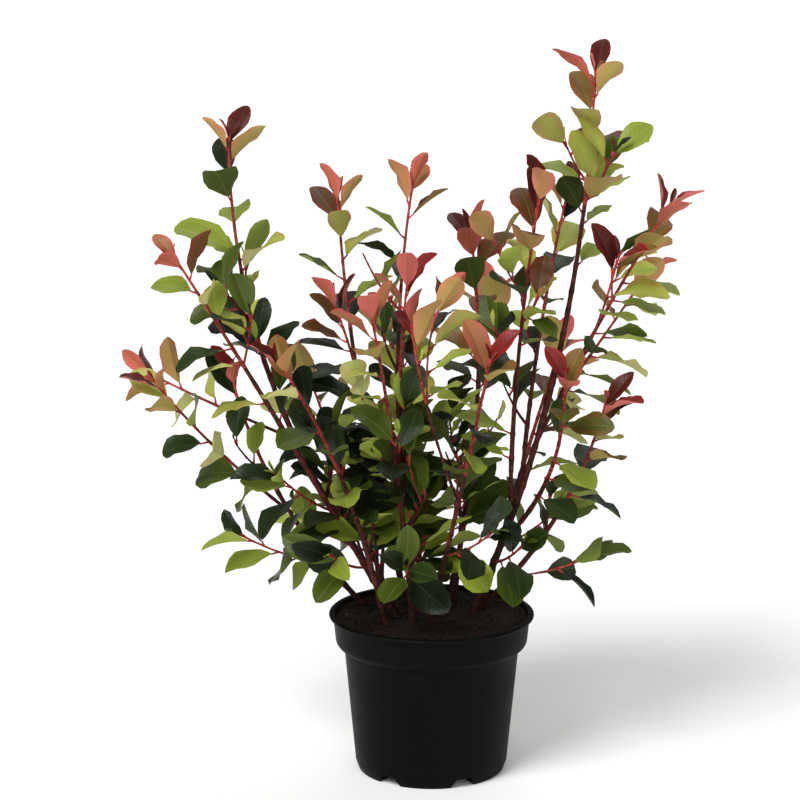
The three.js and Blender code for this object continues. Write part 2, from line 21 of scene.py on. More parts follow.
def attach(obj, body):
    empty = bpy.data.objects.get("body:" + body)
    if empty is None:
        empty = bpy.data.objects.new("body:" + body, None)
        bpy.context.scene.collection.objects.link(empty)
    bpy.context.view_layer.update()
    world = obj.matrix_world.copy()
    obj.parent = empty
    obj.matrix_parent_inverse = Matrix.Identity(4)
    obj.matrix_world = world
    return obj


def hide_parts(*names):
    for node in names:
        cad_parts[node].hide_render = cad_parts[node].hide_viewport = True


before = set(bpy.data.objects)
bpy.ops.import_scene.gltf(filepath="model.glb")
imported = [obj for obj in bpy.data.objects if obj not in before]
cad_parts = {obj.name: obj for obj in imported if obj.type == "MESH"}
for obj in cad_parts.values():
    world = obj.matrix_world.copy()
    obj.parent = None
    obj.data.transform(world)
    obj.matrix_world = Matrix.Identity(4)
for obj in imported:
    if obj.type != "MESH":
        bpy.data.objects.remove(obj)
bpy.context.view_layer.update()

LOG = logging.getLogger("photinia")
TRIANGLES_PER_PIECE = 190_000

Pair = tuple[float, float]
Place = tuple[float, float, float]
Face = tuple[int, ...]


def mm(length: float | np.ndarray) -> float | np.ndarray:
    """Turns millimetres to metres."""
    return length / 1000


def mix(start: float, end: float, share: float) -> float:
    """Goes from start to end by a share."""
    return start + (end - start) * share


def linear(hex_colour: str) -> tuple[float, float, float, float]:
    """Turns an sRGB hex colour to linear light.

    Args:
        hex_colour: the colour, such as "#6d1a1e".

    Returns:
        Red, green, blue and an alpha of one.
    """
    parts = [int(hex_colour[at : at + 2], 16) / 255 for at in (1, 3, 5)]
    light = [part / 12.92 if part <= 0.04045 else ((part + 0.055) / 1.055) ** 2.4 for part in parts]
    return (*light, 1.0)


# Finishes


def add_node(
    tree: NodeTree,
    kind: str,
    settings: dict[Any, Any] | None = None,
    links: dict[Any, NodeSocket] | None = None,
) -> Node:
    """Adds a node with its settings and links.

    Args:
        tree: the node tree that it goes into.
        kind: its Blender type.
        settings: its properties by name, and the values of its sockets by name or number.
        links: the output that feeds each of its sockets, by the socket's name or number.

    Returns:
        The new node.
    """
    node = tree.nodes.new(kind)
    for key, value in (settings or {}).items():
        if isinstance(key, int) or key in node.inputs:
            node.inputs[key].default_value = value
        else:
            setattr(node, key, value)
    for key, source in (links or {}).items():
        tree.links.new(source, node.inputs[key])
    return node


def new_material(name: str, values: dict[str, Any]) -> tuple[Material, NodeTree, Node]:
    """Starts a material with nothing but its shader.

    Args:
        name: what the real material is and how it was made.
        values: the shader's plain values, by the names of its sockets.

    Returns:
        The material, its node tree and its shader.
    """
    material = bpy.data.materials.new(name)
    material.use_nodes = True
    shader = material.node_tree.nodes["Principled BSDF"]
    for socket, value in values.items():
        shader.inputs[socket].default_value = value
    return material, material.node_tree, shader


def reckon(tree: NodeTree, operation: str, pattern: NodeSocket, other: NodeSocket | float) -> NodeSocket:
    """Works one step of arithmetic on a pattern.

    Args:
        tree: the material's node tree.
        operation: what is done.
        pattern: the pattern.
        other: the pattern or the number that it is done with.

    Returns:
        The new pattern.
    """
    linked = isinstance(other, NodeSocket)
    settings = {"operation": operation} | ({} if linked else {1: other})
    links = {0: pattern} | ({1: other} if linked else {})
    return add_node(tree, "ShaderNodeMath", settings, links).outputs[0]


def mottle(tree: NodeTree, size_mm: float, detail: float, harshness: float = 0.5) -> NodeSocket:
    """Lays a pattern of patches over a piece.

    Args:
        tree: the material's node tree.
        size_mm: the size of the patches in millimetres.
        detail: how many layers of finer patches there are.
        harshness: how strong the finer ones are.

    Returns:
        The pattern, from 0 to 1.
    """
    place = add_node(tree, "ShaderNodeTexCoord").outputs["Object"]
    settings = {"Scale": 1 / mm(size_mm), "Detail": detail, "Roughness": harshness}
    return add_node(tree, "ShaderNodeTexNoise", settings, {"Vector": place}).outputs["Fac"]


def colour(shader: Node, pattern: NodeSocket, tones: tuple[str, str], span: Pair) -> None:
    """Colours a shader from one tone to another along a pattern.

    Args:
        shader: the material's shader.
        pattern: the pattern.
        tones: the dark tone and the light one, as hex colours.
        span: where on the pattern each of them is reached.
    """
    tree = shader.id_data
    ramp = add_node(tree, "ShaderNodeValToRGB", links={"Fac": pattern})
    for stop, tone, position in zip(ramp.color_ramp.elements, tones, span):
        stop.position = position
        stop.color = linear(tone)
    tree.links.new(ramp.outputs["Color"], shader.inputs["Base Color"])


def emboss(shader: Node, pattern: NodeSocket, depth_mm: float) -> None:
    """Gives a shader a surface relief.

    Args:
        shader: the material's shader.
        pattern: the height of the relief, from 0 to 1.
        depth_mm: how high 1 is, in millimetres.
    """
    tree = shader.id_data
    bump = add_node(tree, "ShaderNodeBump", {"Strength": 1.0, "Distance": mm(depth_mm)}, {"Height": pattern})
    tree.links.new(bump.outputs["Normal"], shader.inputs["Normal"])


@dataclass(frozen=True)
class LeafSkin:
    """The waxy skin of an evergreen leaf, one plain colour, with the relief of its side veins."""

    name: str
    colour: str
    roughness: float
    specular: float = 0.22
    ior: float = 1.42
    vein_mm: float = 0.2
    veins: float = 9.0
    slant: float = 2.2
    vein_softness: float = 0.4

    def material(self) -> Material:
        """Makes the material, whose veins run out from the midrib and forwards to the margin."""
        values = {"Roughness": self.roughness, "IOR": self.ior, "Specular IOR Level": self.specular}
        material, tree, shader = new_material(self.name, {"Base Color": linear(self.colour)} | values)
        place = add_node(tree, "ShaderNodeTexCoord")
        blade = add_node(tree, "ShaderNodeSeparateXYZ", links={"Vector": place.outputs["UV"]})
        along = reckon(tree, "MULTIPLY", blade.outputs["X"], self.veins)
        aside = reckon(tree, "MULTIPLY", blade.outputs["Y"], self.slant)
        groove = reckon(tree, "PINGPONG", reckon(tree, "SUBTRACT", along, aside), 0.5)
        emboss(shader, reckon(tree, "POWER", groove, self.vein_softness), self.vein_mm)
        return material


@dataclass(frozen=True)
class Bark:
    """The skin of a woody shoot: patches of two tones, over a fine rough relief."""

    name: str
    dark: str
    light: str
    roughness: float
    grain_mm: float
    relief_mm: float
    specular: float = 0.18
    patch_grains: float = 4
    span: Pair = (0.38, 0.64)

    def material(self) -> Material:
        """Makes the material, its patches a few grains wide."""
        values = {"Roughness": self.roughness, "Specular IOR Level": self.specular}
        material, tree, shader = new_material(self.name, values)
        patches = mottle(tree, self.patch_grains * self.grain_mm, detail=3.0)
        colour(shader, patches, (self.dark, self.light), self.span)
        emboss(shader, mottle(tree, self.grain_mm, detail=4.0, harshness=0.6), self.relief_mm)
        return material


@dataclass(frozen=True)
class MouldedPlastic:
    """Black polypropylene, injection moulded: a satin skin with a faint flow and dusty scuffs."""

    name: str = "black moulded polypropylene"
    dark: str = "#040404"
    light: str = "#090909"
    ior: float = 1.49
    specular: float = 0.06
    flow_mm: float = 26.0
    flow_span: Pair = (0.35, 0.7)
    scuff_span: Pair = (0.3, 0.7)
    roughness: Pair = (0.46, 0.6)
    grain_mm: float = 1.4
    relief_mm: float = 0.06

    def material(self) -> Material:
        """Makes the material: near black, a little paler and duller in broad patches."""
        values = {"IOR": self.ior, "Specular IOR Level": self.specular}
        material, tree, shader = new_material(self.name, values)
        flow = mottle(tree, self.flow_mm, detail=5.0, harshness=0.65)
        colour(shader, flow, (self.dark, self.light), self.flow_span)
        limits = dict(zip(("From Min", "From Max", "To Min", "To Max"), self.scuff_span + self.roughness))
        scuffs = add_node(tree, "ShaderNodeMapRange", limits, {"Value": flow})
        tree.links.new(scuffs.outputs["Result"], shader.inputs["Roughness"])
        emboss(shader, mottle(tree, self.grain_mm, detail=2.0), self.relief_mm)
        return material


@dataclass(frozen=True)
class PottingMix:
    """Damp potting mix: crumbs of peat and composted bark, matt and almost black where it is wet."""

    name: str
    dark: str
    light: str
    crumb_mm: float = 3.0
    relief_mm: float = 0.8
    roughness: float = 0.95
    specular: float = 0.25
    span: Pair = (0.36, 0.68)

    def material(self) -> Material:
        """Makes the material: two browns mixed crumb by crumb, over a rough relief."""
        values = {"Roughness": self.roughness, "Specular IOR Level": self.specular}
        material, tree, shader = new_material(self.name, values)
        crumbs = mottle(tree, self.crumb_mm, detail=5.0, harshness=0.7)
        colour(shader, crumbs, (self.dark, self.light), self.span)
        emboss(shader, crumbs, self.relief_mm)
        return material


class Tint(Enum):
    """The looks of a leaf as it ages: its face, that face's edge and rib, then the same three beneath."""

    WINE = ("#41160f", "#52140f", "#66251a", "#b4604a", "#c2625a", "#a04a38")
    RUBY = ("#6c1c18", "#7c1e1c", "#8a3428", "#cc6e62", "#d66c68", "#b05446")
    CORAL = ("#8e5c3a", "#a05440", "#9c6e40", "#bc8658", "#cc7e64", "#aa8450")
    BRONZE = ("#4a3016", "#5c2c16", "#6e4e26", "#aa8850", "#ba825a", "#988a4a")
    TAN = ("#6b5426", "#7c4c28", "#7c6c30", "#aa9752", "#b88d5c", "#a8a054")
    OLIVE = ("#4a4a1a", "#5a4618", "#646428", "#a8a656", "#b29c5c", "#a4a654")
    PALE = ("#9aa046", "#9c9242", "#a8ac58", "#cfd284", "#d2c684", "#b6ba66")
    LIME = ("#727f2a", "#7a862e", "#868f3e", "#b8c85e", "#c2c060", "#a0aa48")
    GREEN = ("#3a4813", "#425017", "#566424", "#9cac49", "#a2aa4c", "#8e9c44")
    MOSS = ("#1f2e0e", "#263511", "#3d4a19", "#74853a", "#7c893c", "#858f4a")
    DARK = ("#131f09", "#18250c", "#2e3815", "#424e1e", "#465220", "#5a682e")
    INK = ("#0b1508", "#0f190a", "#272e10", "#2c3614", "#303816", "#465220")


# The looks that a leaf may have at each stage. A stage ends at a share of the way from the tip of the
# shoot back to its first green leaf
STAGES: tuple[tuple[float, tuple[Tint, ...]], ...] = (
    (0.25, (Tint.WINE, Tint.RUBY, Tint.CORAL, Tint.WINE)),
    (0.5, (Tint.CORAL, Tint.BRONZE, Tint.TAN, Tint.BRONZE)),
    (0.9, (Tint.TAN, Tint.OLIVE, Tint.PALE, Tint.LIME, Tint.DARK, Tint.BRONZE)),
    (2.2, (Tint.GREEN, Tint.LIME, Tint.MOSS, Tint.PALE, Tint.DARK, Tint.INK)),
    (
        math.inf,
        (Tint.GREEN, Tint.DARK, Tint.LIME, Tint.MOSS, Tint.INK, Tint.MOSS, Tint.DARK, Tint.GREEN),
    ),
)


# The growth rule


class Draws:
    """A repeatable stream of numbers from 0 to 1, the same as in the part's source."""

    MODULUS = 2147483647
    MULTIPLIER = 48271
    SEED_STEP = 7919
    SEED_START = 104729

    def __init__(self, seed: int) -> None:
        """Starts the stream and leaves its first two numbers out."""
        self.state = (seed * self.SEED_STEP + self.SEED_START) % self.MODULUS
        self()
        self()

    def __call__(self) -> float:
        """Draws the next number."""
        self.state = (self.state * self.MULTIPLIER) % self.MODULUS
        return self.state / self.MODULUS


@dataclass
class Axis:
    """A shoot's centre line and taper. Places along it are in millimetres from its foot."""

    foot: np.ndarray
    waist: np.ndarray
    tip: np.ndarray
    foot_radius: float
    tip_radius: float
    divisions: int = 40
    length: float = field(init=False)

    def __post_init__(self) -> None:
        """Bends the curve through its waist and measures it."""
        self.bend = 2 * self.waist - (self.foot + self.tip) / 2
        self.shares = np.linspace(0, 1, self.divisions + 1)
        steps = np.linalg.norm(np.diff(self._curve(self.shares), axis=0), axis=1)
        self.arc = np.concatenate([[0.0], np.cumsum(steps)])
        self.length = float(self.arc[-1])

    def _curve(self, share: np.ndarray) -> np.ndarray:
        """Gives points of the curve at shares of its own parameter."""
        s = np.asarray(share, float)[..., None]
        return (1 - s) ** 2 * self.foot + 2 * s * (1 - s) * self.bend + s**2 * self.tip

    def point(self, place: float | np.ndarray) -> np.ndarray:
        """Gives the point, or points, at a place."""
        return self._curve(np.interp(place, self.arc, self.shares))

    def radius(self, place: float | np.ndarray) -> float | np.ndarray:
        """Gives the radius at a place."""
        return self.foot_radius + (self.tip_radius - self.foot_radius) * place / self.length

    def frame(self, place: float) -> tuple[np.ndarray, np.ndarray, np.ndarray]:
        """Gives the direction along the axis and two across it.

        Args:
            place: where on the axis, in millimetres from its foot.

        Returns:
            The direction along, the one away from the shrub's best side and the one to its right.
        """
        s = float(np.interp(place, self.arc, self.shares))
        along = (1 - s) * (self.bend - self.foot) + s * (self.tip - self.bend)
        along = along / np.linalg.norm(along)
        away = np.array([0.0, 1.0, 0.0]) - along * along[1]
        away = away / np.linalg.norm(away)
        return along, away, np.cross(away, along)


class Flush(Enum):
    """How far back from its tip a shoot is still red: the rank of the first leaf that is green."""

    NONE = 0
    SHORT = 4
    MIDDLE = 5
    LONG = 8


@dataclass(frozen=True)
class Riser:
    """A shoot that rises from the soil, with its foot on the ground plan. Sizes are millimetres."""

    name: str
    foot: Pair
    waist: Place
    tip: Place
    girth: float
    bare: float
    flush: Flush


@dataclass(frozen=True)
class Branch:
    """A shoot that leaves another limb at a share of that limb's length."""

    name: str
    source: str
    at: float
    waist: Place
    tip: Place
    bare: float
    flush: Flush


@dataclass(frozen=True)
class Sprig:
    """A short leafy sprig low on a limb, by its bearing and its rise above level in degrees."""

    name: str
    source: str
    at: float
    bearing: float
    rise: float
    length: float
    bare: float = 0
    flush: Flush = Flush.NONE

    def reach(self) -> np.ndarray:
        """Gives the way from its foot to its tip."""
        bearing, rise = math.radians(self.bearing), math.radians(self.rise)
        level = math.cos(rise)
        return self.length * np.array([math.cos(bearing) * level, math.sin(bearing) * level, math.sin(rise)])


SHOOTS: tuple[Riser | Branch | Sprig, ...] = (
    # Foot, middle and tip of the curve, girth at the foot, bare share, and how far back it is red
    Riser("left_tall", (-29, 12), (-146, 20, 360), (-184, 30, 584), 6.6, 0.42, Flush.SHORT),
    Riser("left_front", (-34, -6), (-134, -29, 327), (-227, -60, 490), 6.4, 0.2, Flush.MIDDLE),
    Riser("left_low", (-65, 39), (-141, 26, 254), (-183, 10, 371), 5.6, 0.46, Flush.SHORT),
    Riser("left_inner", (-43, -30), (-80, -55, 284), (-134, -90, 400), 5.4, 0.22, Flush.SHORT),
    Riser("mid_left_tall", (-22, 35), (-65, 58, 336), (-87, 90, 521), 6.0, 0.42, Flush.SHORT),
    Riser("front_left", (-18, -22), (-33, -42, 299), (-54, -70, 438), 5.4, 0.24, Flush.MIDDLE),
    Riser("middle_tall", (-12, 15), (-31, 34, 350), (-17, 60, 543), 6.2, 0.31, Flush.SHORT),
    Riser("mid_right_back", (15, 32), (42, 48, 324), (36, 70, 494), 5.8, 0.24, Flush.LONG),
    Riser("front_middle", (-2, -30), (26, -64, 282), (49, -110, 407), 5.6, 0.48, Flush.MIDDLE),
    Riser("right_tall", (38, 12), (114, 15, 379), (146, 20, 645), 7.4, 0.36, Flush.LONG),
    Riser("right_low", (46, 24), (116, 1, 242), (156, -30, 353), 5.2, 0.24, Flush.MIDDLE),
    Riser("back_left", (-40, 55), (-84, 100, 262), (-115, 150, 335), 5.4, 0.26, Flush.SHORT),
    Riser("back_mid_left", (-6, 54), (-25, 108, 292), (-40, 165, 398), 5.6, 0.26, Flush.MIDDLE),
    Riser("back_mid_right", (22, 56), (42, 108, 302), (55, 170, 415), 5.6, 0.2, Flush.MIDDLE),
    Riser("back_right", (50, 46), (90, 92, 274), (125, 150, 370), 5.4, 0.26, Flush.MIDDLE),
    # The limb that it leaves and where, then as above without the girth
    Branch("far_left_high", "left_tall", 0.4, (-206, 44, 338), (-265, 70, 361), 0.36, Flush.SHORT),
    Branch("middle_right", "front_middle", 0.46, (-4, -69, 353), (-19, -60, 430), 0.58, Flush.MIDDLE),
    Branch("far_right_high", "right_tall", 0.33, (151, 13, 416), (213, 10, 526), 0.22, Flush.LONG),
    Branch("right_tall_inner", "right_tall", 0.18, (78, -6, 388), (96, -20, 545), 0.16, Flush.LONG),
    Branch("right_behind", "right_tall", 0.24, (98, 34, 395), (124, 60, 529), 0.16, Flush.SHORT),
    Branch("front_right", "right_tall", 0.14, (106, -42, 292), (115, -100, 389), 0.16, Flush.MIDDLE),
    Branch("far_left_low", "left_low", 0.44, (-196, 13, 299), (-250, -10, 366), 0, Flush.SHORT),
    Branch("mid_left_short", "mid_left_tall", 0.4, (-68, 13, 369), (-88, -10, 439), 0, Flush.MIDDLE),
    Branch("middle_short", "middle_tall", 0.29, (-29, 3, 361), (-23, -20, 459), 0, Flush.MIDDLE),
    Branch("middle_fork", "middle_right", 0.55, (-3, -38, 408), (10, -10, 446), 0, Flush.MIDDLE),
    Branch("far_right_behind", "far_right_high", 0.18, (158, 44, 399), (199, 80, 450), 0, Flush.MIDDLE),
    Branch("right_upright", "far_right_high", 0.12, (143, -6, 405), (164, -30, 482), 0, Flush.MIDDLE),
    # The limb that it leaves and where, then its bearing, rise and length
    Sprig("low_far_left", "left_low", 0.2, 185, 20, 84),
    Sprig("low_left", "left_tall", 0.24, 225, 34, 84),
    Sprig("low_front_left", "left_front", 0.14, 245, 22, 78),
    Sprig("low_front", "front_left", 0.16, 268, 20, 74),
    Sprig("low_front_right", "front_middle", 0.26, 305, 28, 80),
    Sprig("low_right", "right_tall", 0.1, 290, 26, 76),
    Sprig("low_far_right", "right_low", 0.18, 355, 16, 78),
    Sprig("low_back_right", "back_right", 0.2, 35, 22, 80),
    Sprig("low_back", "back_mid_left", 0.2, 85, 22, 78),
    Sprig("low_back_left", "back_left", 0.2, 160, 22, 80),
)


@dataclass
class Shoot:
    """A shoot with its axis and the place where its leaves begin."""

    name: str
    axis: Axis
    leafy_from: float
    seed: int
    flush: Flush
    rises: bool


@dataclass
class Leaf:
    """One leaf's place, turn and size in millimetres, and what its tint is drawn from."""

    base: np.ndarray
    direction: np.ndarray
    upper: np.ndarray
    across: np.ndarray
    length: float
    width: float
    fold: float
    petiole: float
    ripeness: float
    samples: np.ndarray = field(default_factory=lambda: np.zeros((0, 3)))


@dataclass
class Twig:
    """A side twig, the place of its foot's leaf nodes and how young its skin is."""

    axis: Axis
    nodes: list[float]
    youth: float


@dataclass
class Growth:
    """All that grew on one shoot, with the shoot's number, or None where shoots are taken together."""

    shoot: Shoot
    number: int | None
    nodes: list[float]
    twigs: list[Twig] = field(default_factory=list)
    leaves: list[Leaf] = field(default_factory=list)
    stems: list[np.ndarray] = field(default_factory=list)


def to_segments(points: np.ndarray, starts: np.ndarray, ends: np.ndarray) -> tuple[np.ndarray, np.ndarray]:
    """Measures points against straight segments.

    Args:
        points: the points, a row each.
        starts: where each segment starts.
        ends: where it ends.

    Returns:
        The distances, a row for each point, and the nearest share of each segment.
    """
    span = ends - starts
    offset = points[:, None, :] - starts
    share = np.clip((offset * span).sum(-1) / (span * span).sum(-1), 0, 1)
    return np.linalg.norm(offset - share[..., None] * span, axis=-1), share


@dataclass(frozen=True)
class TwigKind:
    """A kind of side twig. Those of the source's rule may leave the thicket and stay without a leaf."""

    length: float
    leaf_size: float
    blade_margin: float
    by_source: bool = False
    on_bare_limb: bool = False


@dataclass
class Habit:
    """The rule that the shrub grows by. Every size and draw is that of the part's source."""

    first_seed: int = 1
    soil_top: float = 146
    lowest_leaf: float = 152
    tip_radius: float = 0.8
    branch_girth: float = 0.72
    node_gap: float = 21
    node_start: float = 4
    node_play: Pair = (0.85, 1.15)
    tuft_crowding: float = 0.22
    tuft_opening: float = 0.16
    first_leaf: float = 9
    spiral: float = 137.5
    leaf_length: float = 50
    petiole_length: float = 9
    young_petiole: float = 0.4
    young_share: float = 0.72
    growth_per_rank: float = 0.1
    growth_play: Pair = (0.82, 1.16)
    young_width: float = 0.44
    full_width: float = 0.56
    width_play: Pair = (0.88, 1.12)
    full_rank: int = 5
    widest_at: float = 0.58
    young_spread: float = 24
    full_spread: float = 60
    turn_play: float = 24
    roll_play: float = 44
    young_fold: float = 24
    full_fold: float = 12
    fold_play: float = 10
    leaf_droop: float = 0.12
    root_sink: float = 0.5
    # The turns and sizes that are tried for a leaf until one has room
    leaf_tries: tuple[Pair, ...] = (
        (0, 1), (70, 1), (-70, 1), (0, 0.8), (140, 0.9), (-140, 0.9), (35, 0.7), (-35, 0.7)
    )
    cell_margin: float = 0.8
    limb_margin: float = 2.6
    blade_margin: float = 4
    stem_margin: float = 3
    axis_marks: int = 12
    leaf_rows: int = 9
    leaf_columns: tuple[float, ...] = (-1, -0.5, 0, 0.5, 1)
    stalk_samples: int = 10
    side_twig: TwigKind = TwigKind(length=42, leaf_size=0.85, blade_margin=4, by_source=True)
    twig_first_rank: int = 6
    twig_chance: float = 0.4
    twig_play: Pair = (0.7, 1.3)
    twig_spread: float = 42
    twig_rise: float = 0.2
    twig_age: int = 3
    twig_leaf_turn: float = 90
    twig_clear_from: float = 0.3
    # The finer twigs that only the dressed shrub has
    fine_twig: TwigKind = TwigKind(length=34, leaf_size=0.8, blade_margin=2.2)
    fine_seed: int = 1000
    fine_first_rank: int = 6
    fine_height: float = 305
    fine_turns: tuple[float, ...] = (180, 90, -90)
    # The twigs that the dressed shrub bears on its bare limbs, down to near the soil
    low_twig: TwigKind = TwigKind(length=46, leaf_size=1.05, blade_margin=2.2, on_bare_limb=True)
    low_seed: int = 5
    low_gap: float = 24
    low_start: float = 166
    low_end: float = 290
    low_turns: tuple[float, ...] = (0, 150)
    # The thicket round the shrub's middle, to which those two kinds keep
    thicket_middle: Pair = (-28, 18)
    thicket_reach: float = 50
    thicket_widening: float = 0.15
    near: float = 120
    # The unopened leaves at the end of each shoot and twig
    spike_rise: float = 0.6
    spike_spread: float = 15
    spike_sizes: tuple[float, ...] = (0.5, 0.36)
    spike_margin: float = 1.2
    spike_width: float = 0.3

    def lay_out(self) -> list[Shoot]:
        """Gives each shoot and sprig its axis.

        Returns:
            The shoots, in the order of the table.
        """
        shoots: dict[str, Shoot] = {}
        for plan in SHOOTS:
            rises = isinstance(plan, Riser)
            if rises:
                foot, radius = np.array([*plan.foot, self.soil_top], float), plan.girth / 2
            else:
                parent = shoots[plan.source].axis
                place = parent.length * plan.at
                foot, radius = parent.point(place), parent.radius(place) * self.branch_girth
            if isinstance(plan, Sprig):
                sag = np.array([0, 0, plan.length * self.twig_rise / 4])
                waist, tip = foot + plan.reach() / 2 - sag, foot + plan.reach()
                radius = radius / 2
            else:
                waist, tip = np.array(plan.waist, float), np.array(plan.tip, float)
            axis = Axis(foot, waist, tip, radius, self.tip_radius)
            seed = self.first_seed + len(shoots)
            shoots[plan.name] = Shoot(plan.name, axis, axis.length * plan.bare, seed, plan.flush, rises)
        return list(shoots.values())

    def in_thicket(self, point: np.ndarray) -> bool:
        """Tells whether a point lies in the thicket round the shrub's middle."""
        aside = math.hypot(point[0] - self.thicket_middle[0], point[1] - self.thicket_middle[1])
        return aside < self.thicket_reach + self.thicket_widening * (point[2] - self.soil_top)

    def marks(self, start: float, end: float) -> np.ndarray:
        """Gives evenly spaced places over a stretch of an axis."""
        return np.linspace(start, end, self.axis_marks + 1)

    def node_places(self, axis: Axis, start: float, draw: Draws) -> list[float]:
        """Gives the places of a stem's nodes.

        Args:
            axis: the stem's axis.
            start: where its leaves begin.
            draw: the shoot's stream of numbers.

        Returns:
            The places, from the tip back.
        """
        places: list[float] = []
        place = axis.length - self.node_start
        while place > start + self.first_leaf:
            places.append(place)
            crowding = min(1, self.tuft_crowding + self.tuft_opening * len(places))
            place -= self.node_gap * crowding * mix(*self.node_play, draw())
        return places

    def plan_leaf(self, rank: int, draw: Draws) -> dict[str, float]:
        """Draws a leaf's chance turns and its growth.

        Args:
            rank: how many nodes it is back from the tip.
            draw: the shoot's stream of numbers.

        Returns:
            The turns in degrees, and the sizes as shares.
        """
        age = min(1, rank / self.full_rank)
        share = min(1, self.young_share + self.growth_per_rank * rank)
        return {
            "age": age,
            "swing": self.turn_play * (draw() - 0.5),
            "spread": mix(self.young_spread, self.full_spread, age) + self.turn_play * (draw() - 0.5),
            "roll": self.roll_play * (draw() - 0.5),
            "growth": share * mix(*self.growth_play, draw()),
            "breadth": mix(self.young_width, self.full_width, age) * mix(*self.width_play, draw()),
            "fold": mix(self.young_fold, self.full_fold, age) + self.fold_play * (draw() - 0.5),
        }

    def place_leaf(
        self, axis: Axis, place: float, bearing: float, size: float, plan: dict[str, float]
    ) -> Leaf:
        """Puts a leaf at its node.

        Args:
            axis: the stem's axis.
            place: the node's place on it.
            bearing: the leaf's turn about the stem, in degrees.
            size: the share of its full size that it gets.
            plan: its chance turns and its growth.

        Returns:
            The leaf with the points at which its room is tested.
        """
        along, away, right = axis.frame(place)
        angle = math.radians(bearing + plan["swing"])
        spread, roll = math.radians(plan["spread"]), math.radians(plan["roll"])
        outward = right * math.cos(angle) + away * math.sin(angle)
        direction = along * math.cos(spread) + outward * math.sin(spread)
        level = along * math.sin(spread) - outward * math.cos(spread)
        upper = level * math.cos(roll) + np.cross(direction, level) * math.sin(roll)
        blade = self.leaf_length * size * plan["growth"]
        petiole = self.petiole_length * mix(self.young_petiole, 1, plan["age"])
        leaf = Leaf(
            base=axis.point(place) - direction * self.root_sink * axis.radius(place),
            direction=direction,
            upper=upper,
            across=np.cross(direction, upper),
            length=blade + petiole,
            width=blade * plan["breadth"],
            fold=math.radians(plan["fold"]),
            petiole=petiole,
            ripeness=0.0,
        )
        share = np.repeat(np.arange(1, self.leaf_rows + 1) / self.leaf_rows, len(self.leaf_columns))
        side = np.tile(self.leaf_columns, self.leaf_rows)
        past = (share - self.widest_at) / (1 - self.widest_at)
        half = leaf.width / 2 * np.where(share < self.widest_at, share / self.widest_at, 1 - past)
        droop = leaf.length * self.leaf_droop * np.maximum(0, past)
        lift = half * np.abs(side) * math.tan(leaf.fold) - droop
        leaf.samples = (
            leaf.base
            + np.outer(leaf.length * share, direction)
            + np.outer(half * side, leaf.across)
            + np.outer(lift, upper)
        )
        return leaf

    def plan_twig(self, axis: Axis, place: float, bearing: float, length: float) -> Axis:
        """Plans a side twig that leaves a stem with a leaf's bearing and bends up.

        Args:
            axis: the stem's axis.
            place: the twig's place on it.
            bearing: its turn about the stem, in degrees.
            length: its length.

        Returns:
            The twig's axis.
        """
        along, away, right = axis.frame(place)
        angle, spread = math.radians(bearing), math.radians(self.twig_spread)
        outward = right * math.cos(angle) + away * math.sin(angle)
        reach = length * (outward * math.sin(spread) + along * math.cos(spread))
        foot = axis.point(place)
        tip = foot + reach + np.array([0, 0, length * self.twig_rise])
        girth = self.branch_girth
        return Axis(foot, foot + reach / 2, tip, axis.radius(place) * girth, self.tip_radius * girth)


class Rooms:
    """The room of each shoot's mass, and the tests that keep its twigs and leaves in it."""

    def __init__(self, habit: Habit, shoots: list[Shoot]) -> None:
        """Marks out every leafy stem and every bare limb.

        Args:
            habit: the growth rule.
            shoots: all shoots of the shrub.
        """
        self.habit = habit
        self.count = len(shoots)
        leafy = [s.axis.point(habit.marks(s.leafy_from, s.axis.length)) for s in shoots]
        self.leafy_starts = np.concatenate([points[:-1] for points in leafy])
        self.leafy_ends = np.concatenate([points[1:] for points in leafy])
        self.leafy = leafy
        limbs = [(s.axis, habit.marks(0, s.leafy_from)) for s in shoots if s.leafy_from > 0]
        self.limb_starts = np.concatenate([axis.point(places)[:-1] for axis, places in limbs])
        self.limb_ends = np.concatenate([axis.point(places)[1:] for axis, places in limbs])
        self.start_radii = np.concatenate([axis.radius(places)[:-1] for axis, places in limbs])
        self.end_radii = np.concatenate([axis.radius(places)[1:] for axis, places in limbs])

    def clear(self, points: np.ndarray, number: int | None) -> bool:
        """Tests whether points stay in a mass's own room, clear of every limb and of the pot.

        Args:
            points: the points, a row each.
            number: the number of the mass's shoot, or None on a bare limb, which has no room of its own.

        Returns:
            Whether all of them do.
        """
        if points[:, 2].min() < self.habit.lowest_leaf:
            return False
        if number is not None:
            distance, _ = to_segments(points, self.leafy_starts, self.leafy_ends)
            nearest = distance.reshape(len(points), self.count, -1).min(axis=2)
            own = nearest[:, number].copy() + self.habit.cell_margin
            nearest[:, number] = math.inf
            if (nearest.min(axis=1) < own).any():
                return False
        distance, share = to_segments(points, self.limb_starts, self.limb_ends)
        radii = self.start_radii + (self.end_radii - self.start_radii) * share
        return bool((distance - radii).min() > self.habit.limb_margin)

    def crossing(self, points: np.ndarray, growth: Growth, margin: float) -> bool:
        """Tests whether a blade comes too near a blade or a stem that is already there.

        Args:
            points: the points of the leaf.
            growth: what has grown on its shoot.
            margin: how near to another blade is too near.

        Returns:
            Whether it does.
        """
        stalk = self.habit.stalk_samples
        blade = points[stalk:]
        for marks in growth.stems:
            if to_segments(blade, marks[:-1], marks[1:])[0].min() < self.habit.stem_margin:
                return True
        if not growth.leaves:
            return False
        others = np.concatenate([leaf.samples[stalk:] for leaf in growth.leaves])
        close = others[np.abs(others - blade.mean(axis=0)).max(axis=1) < self.habit.leaf_length]
        if not len(close):
            return False
        gaps = close[None] - blade[:, None]
        return bool((gaps * gaps).sum(-1).min() < margin**2)


